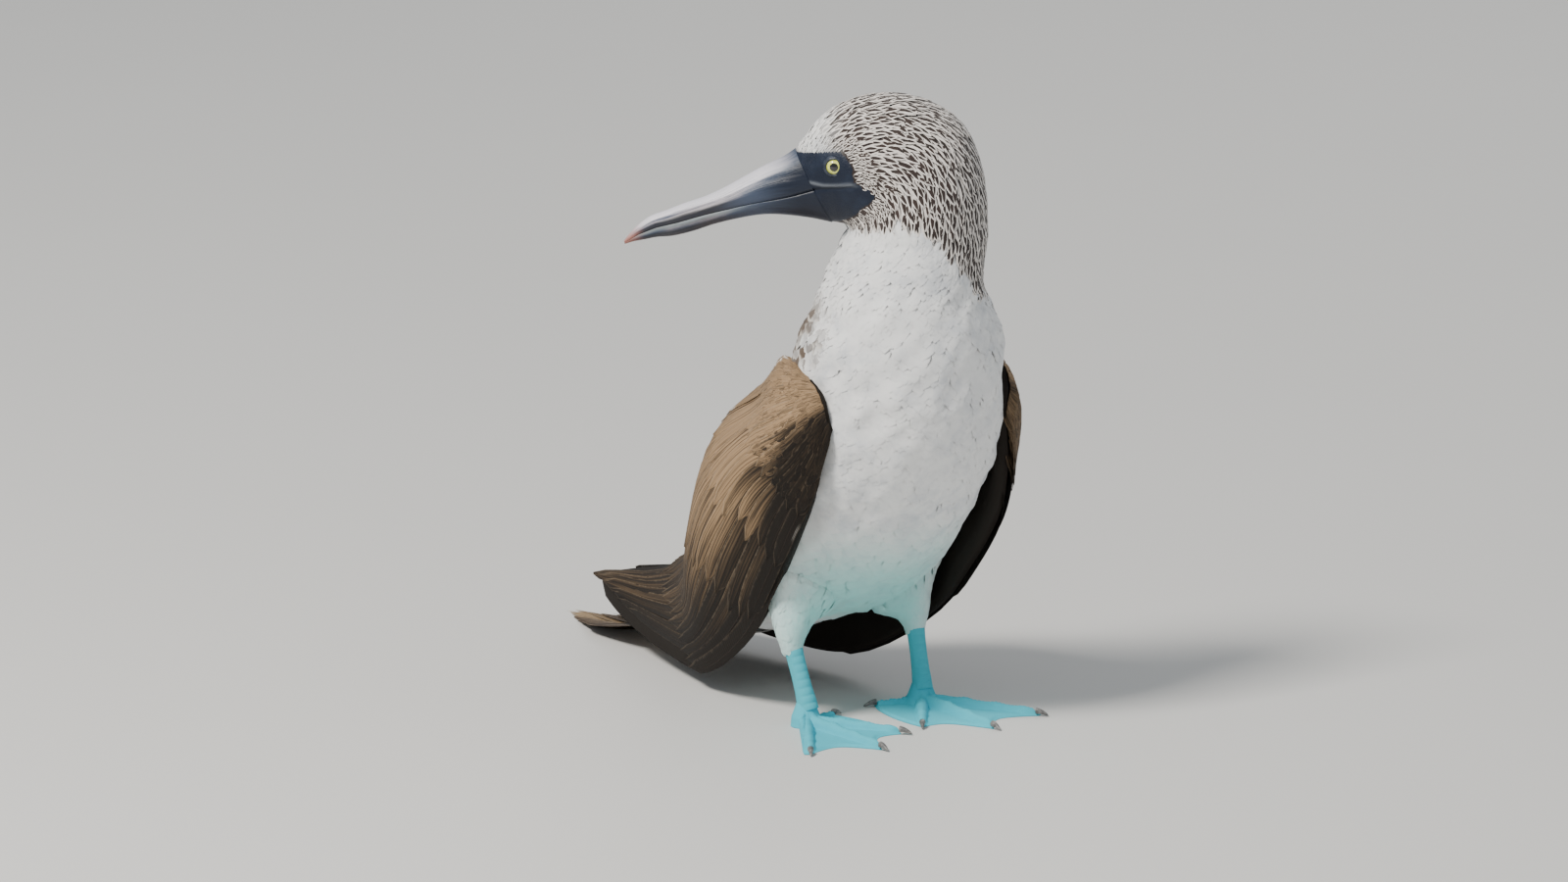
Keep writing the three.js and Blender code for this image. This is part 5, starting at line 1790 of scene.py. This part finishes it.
class MakeStage(bpy.types.Operator):
    """Pale floor, soft lights and the camera."""

    bl_idname = "booby.stage"
    bl_label = "Stage"

    def execute(self, context):
        settings = context.scene.booby_stage
        self.floor(settings)
        self.camera(context, settings)
        self.lights(context, settings)
        return {"FINISHED"}

    def floor(self, settings):
        corners = np.array([[-1, -1, 0], [1, -1, 0], [1, 1, 0], [-1, 1, 0]]) * FLOOR_HALF - UP * 0.05
        piece = build("floor", corners, [np.array([[0, 1, 2, 3]])])
        pale = tuple(settings.floor)
        paint = Paint("floor_matt")
        tone = paint.mix(pale, tuple(0.97 * c for c in pale), paint.noise(3.0, 3.0))
        piece.data.materials.append(paint.finish(Base_Color=tone, Roughness=0.9, Specular_IOR_Level=0.1))

    def camera(self, context, settings):
        a, e = settings.azimuth, settings.elevation
        back = Vector((math.sin(a) * math.cos(e), -math.cos(a) * math.cos(e), math.sin(e)))
        data = bpy.data.cameras.new("camera")
        data.sensor_width = 36.0
        data.lens = data.sensor_width * settings.distance / settings.view_width
        data.clip_end = 200.0
        camera = bpy.data.objects.new("camera", data)
        context.scene.collection.objects.link(camera)
        camera.location = Vector((np.array(CAMERA_AIM) + ORIGIN) * MM) + back * settings.distance
        camera.rotation_mode = "QUATERNION"
        camera.rotation_quaternion = (-back).to_track_quat("-Z", "Y")
        context.scene.camera = camera

    def lights(self, context, settings):
        world = bpy.data.worlds.new("surround")
        world.use_nodes = True
        background = world.node_tree.nodes["Background"]
        background.inputs["Color"].default_value = (*settings.sky, 1.0)
        background.inputs["Strength"].default_value = settings.surround
        context.scene.world = world
        for name, spot, size, power, tint in LIGHTS:
            data = bpy.data.lights.new(name, "AREA")
            data.energy, data.size, data.color = power, size, tint
            lamp = bpy.data.objects.new(name, data)
            context.scene.collection.objects.link(lamp)
            lamp.location = spot
            lamp.rotation_mode = "QUATERNION"
            lamp.rotation_quaternion = (Vector(spot) - LIT_MIDDLE).to_track_quat("Z", "Y")


class BoobyPanel(bpy.types.Panel):
    """Settings and pieces of the bird."""

    bl_idname = "VIEW3D_PT_booby"
    bl_label = "Blue footed booby"
    bl_space_type = "VIEW_3D"
    bl_region_type = "UI"
    bl_category = "Booby"

    def draw(self, context):
        for key in SETTINGS:
            group = getattr(context.scene, key)
            box = self.layout.box()
            box.label(text=key.replace("booby_", "").title())
            for name in group.bl_rna.properties.keys():
                if name not in ("rna_type", "name"):
                    box.prop(group, name)
        for operator in OPERATORS:
            self.layout.operator(operator.bl_idname)


SETTINGS = {
    "booby_plumage": PlumageSettings,
    "booby_wing": WingSettings,
    "booby_head": HeadSettings,
    "booby_leg": LegSettings,
    "booby_stage": StageSettings,
}
OPERATORS = [MakeSkin, MakeBodyCoat, MakeWings, MakeTail, MakeBill, MakeEyes, MakeLegs, MakeFeet, MakeStage]


def register():
    for cls in (*SETTINGS.values(), *OPERATORS, BoobyPanel):
        bpy.utils.register_class(cls)
    for key, cls in SETTINGS.items():
        setattr(bpy.types.Scene, key, PointerProperty(type=cls))


def unregister():
    for key in SETTINGS:
        delattr(bpy.types.Scene, key)
    for cls in (BoobyPanel, *reversed(OPERATORS), *reversed(SETTINGS.values())):
        bpy.utils.unregister_class(cls)


def main():
    register()
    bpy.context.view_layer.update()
    for operator in OPERATORS:
        family, _, name = operator.bl_idname.partition(".")
        getattr(getattr(bpy.ops, family), name)()


if __name__ == "__main__":
    main()
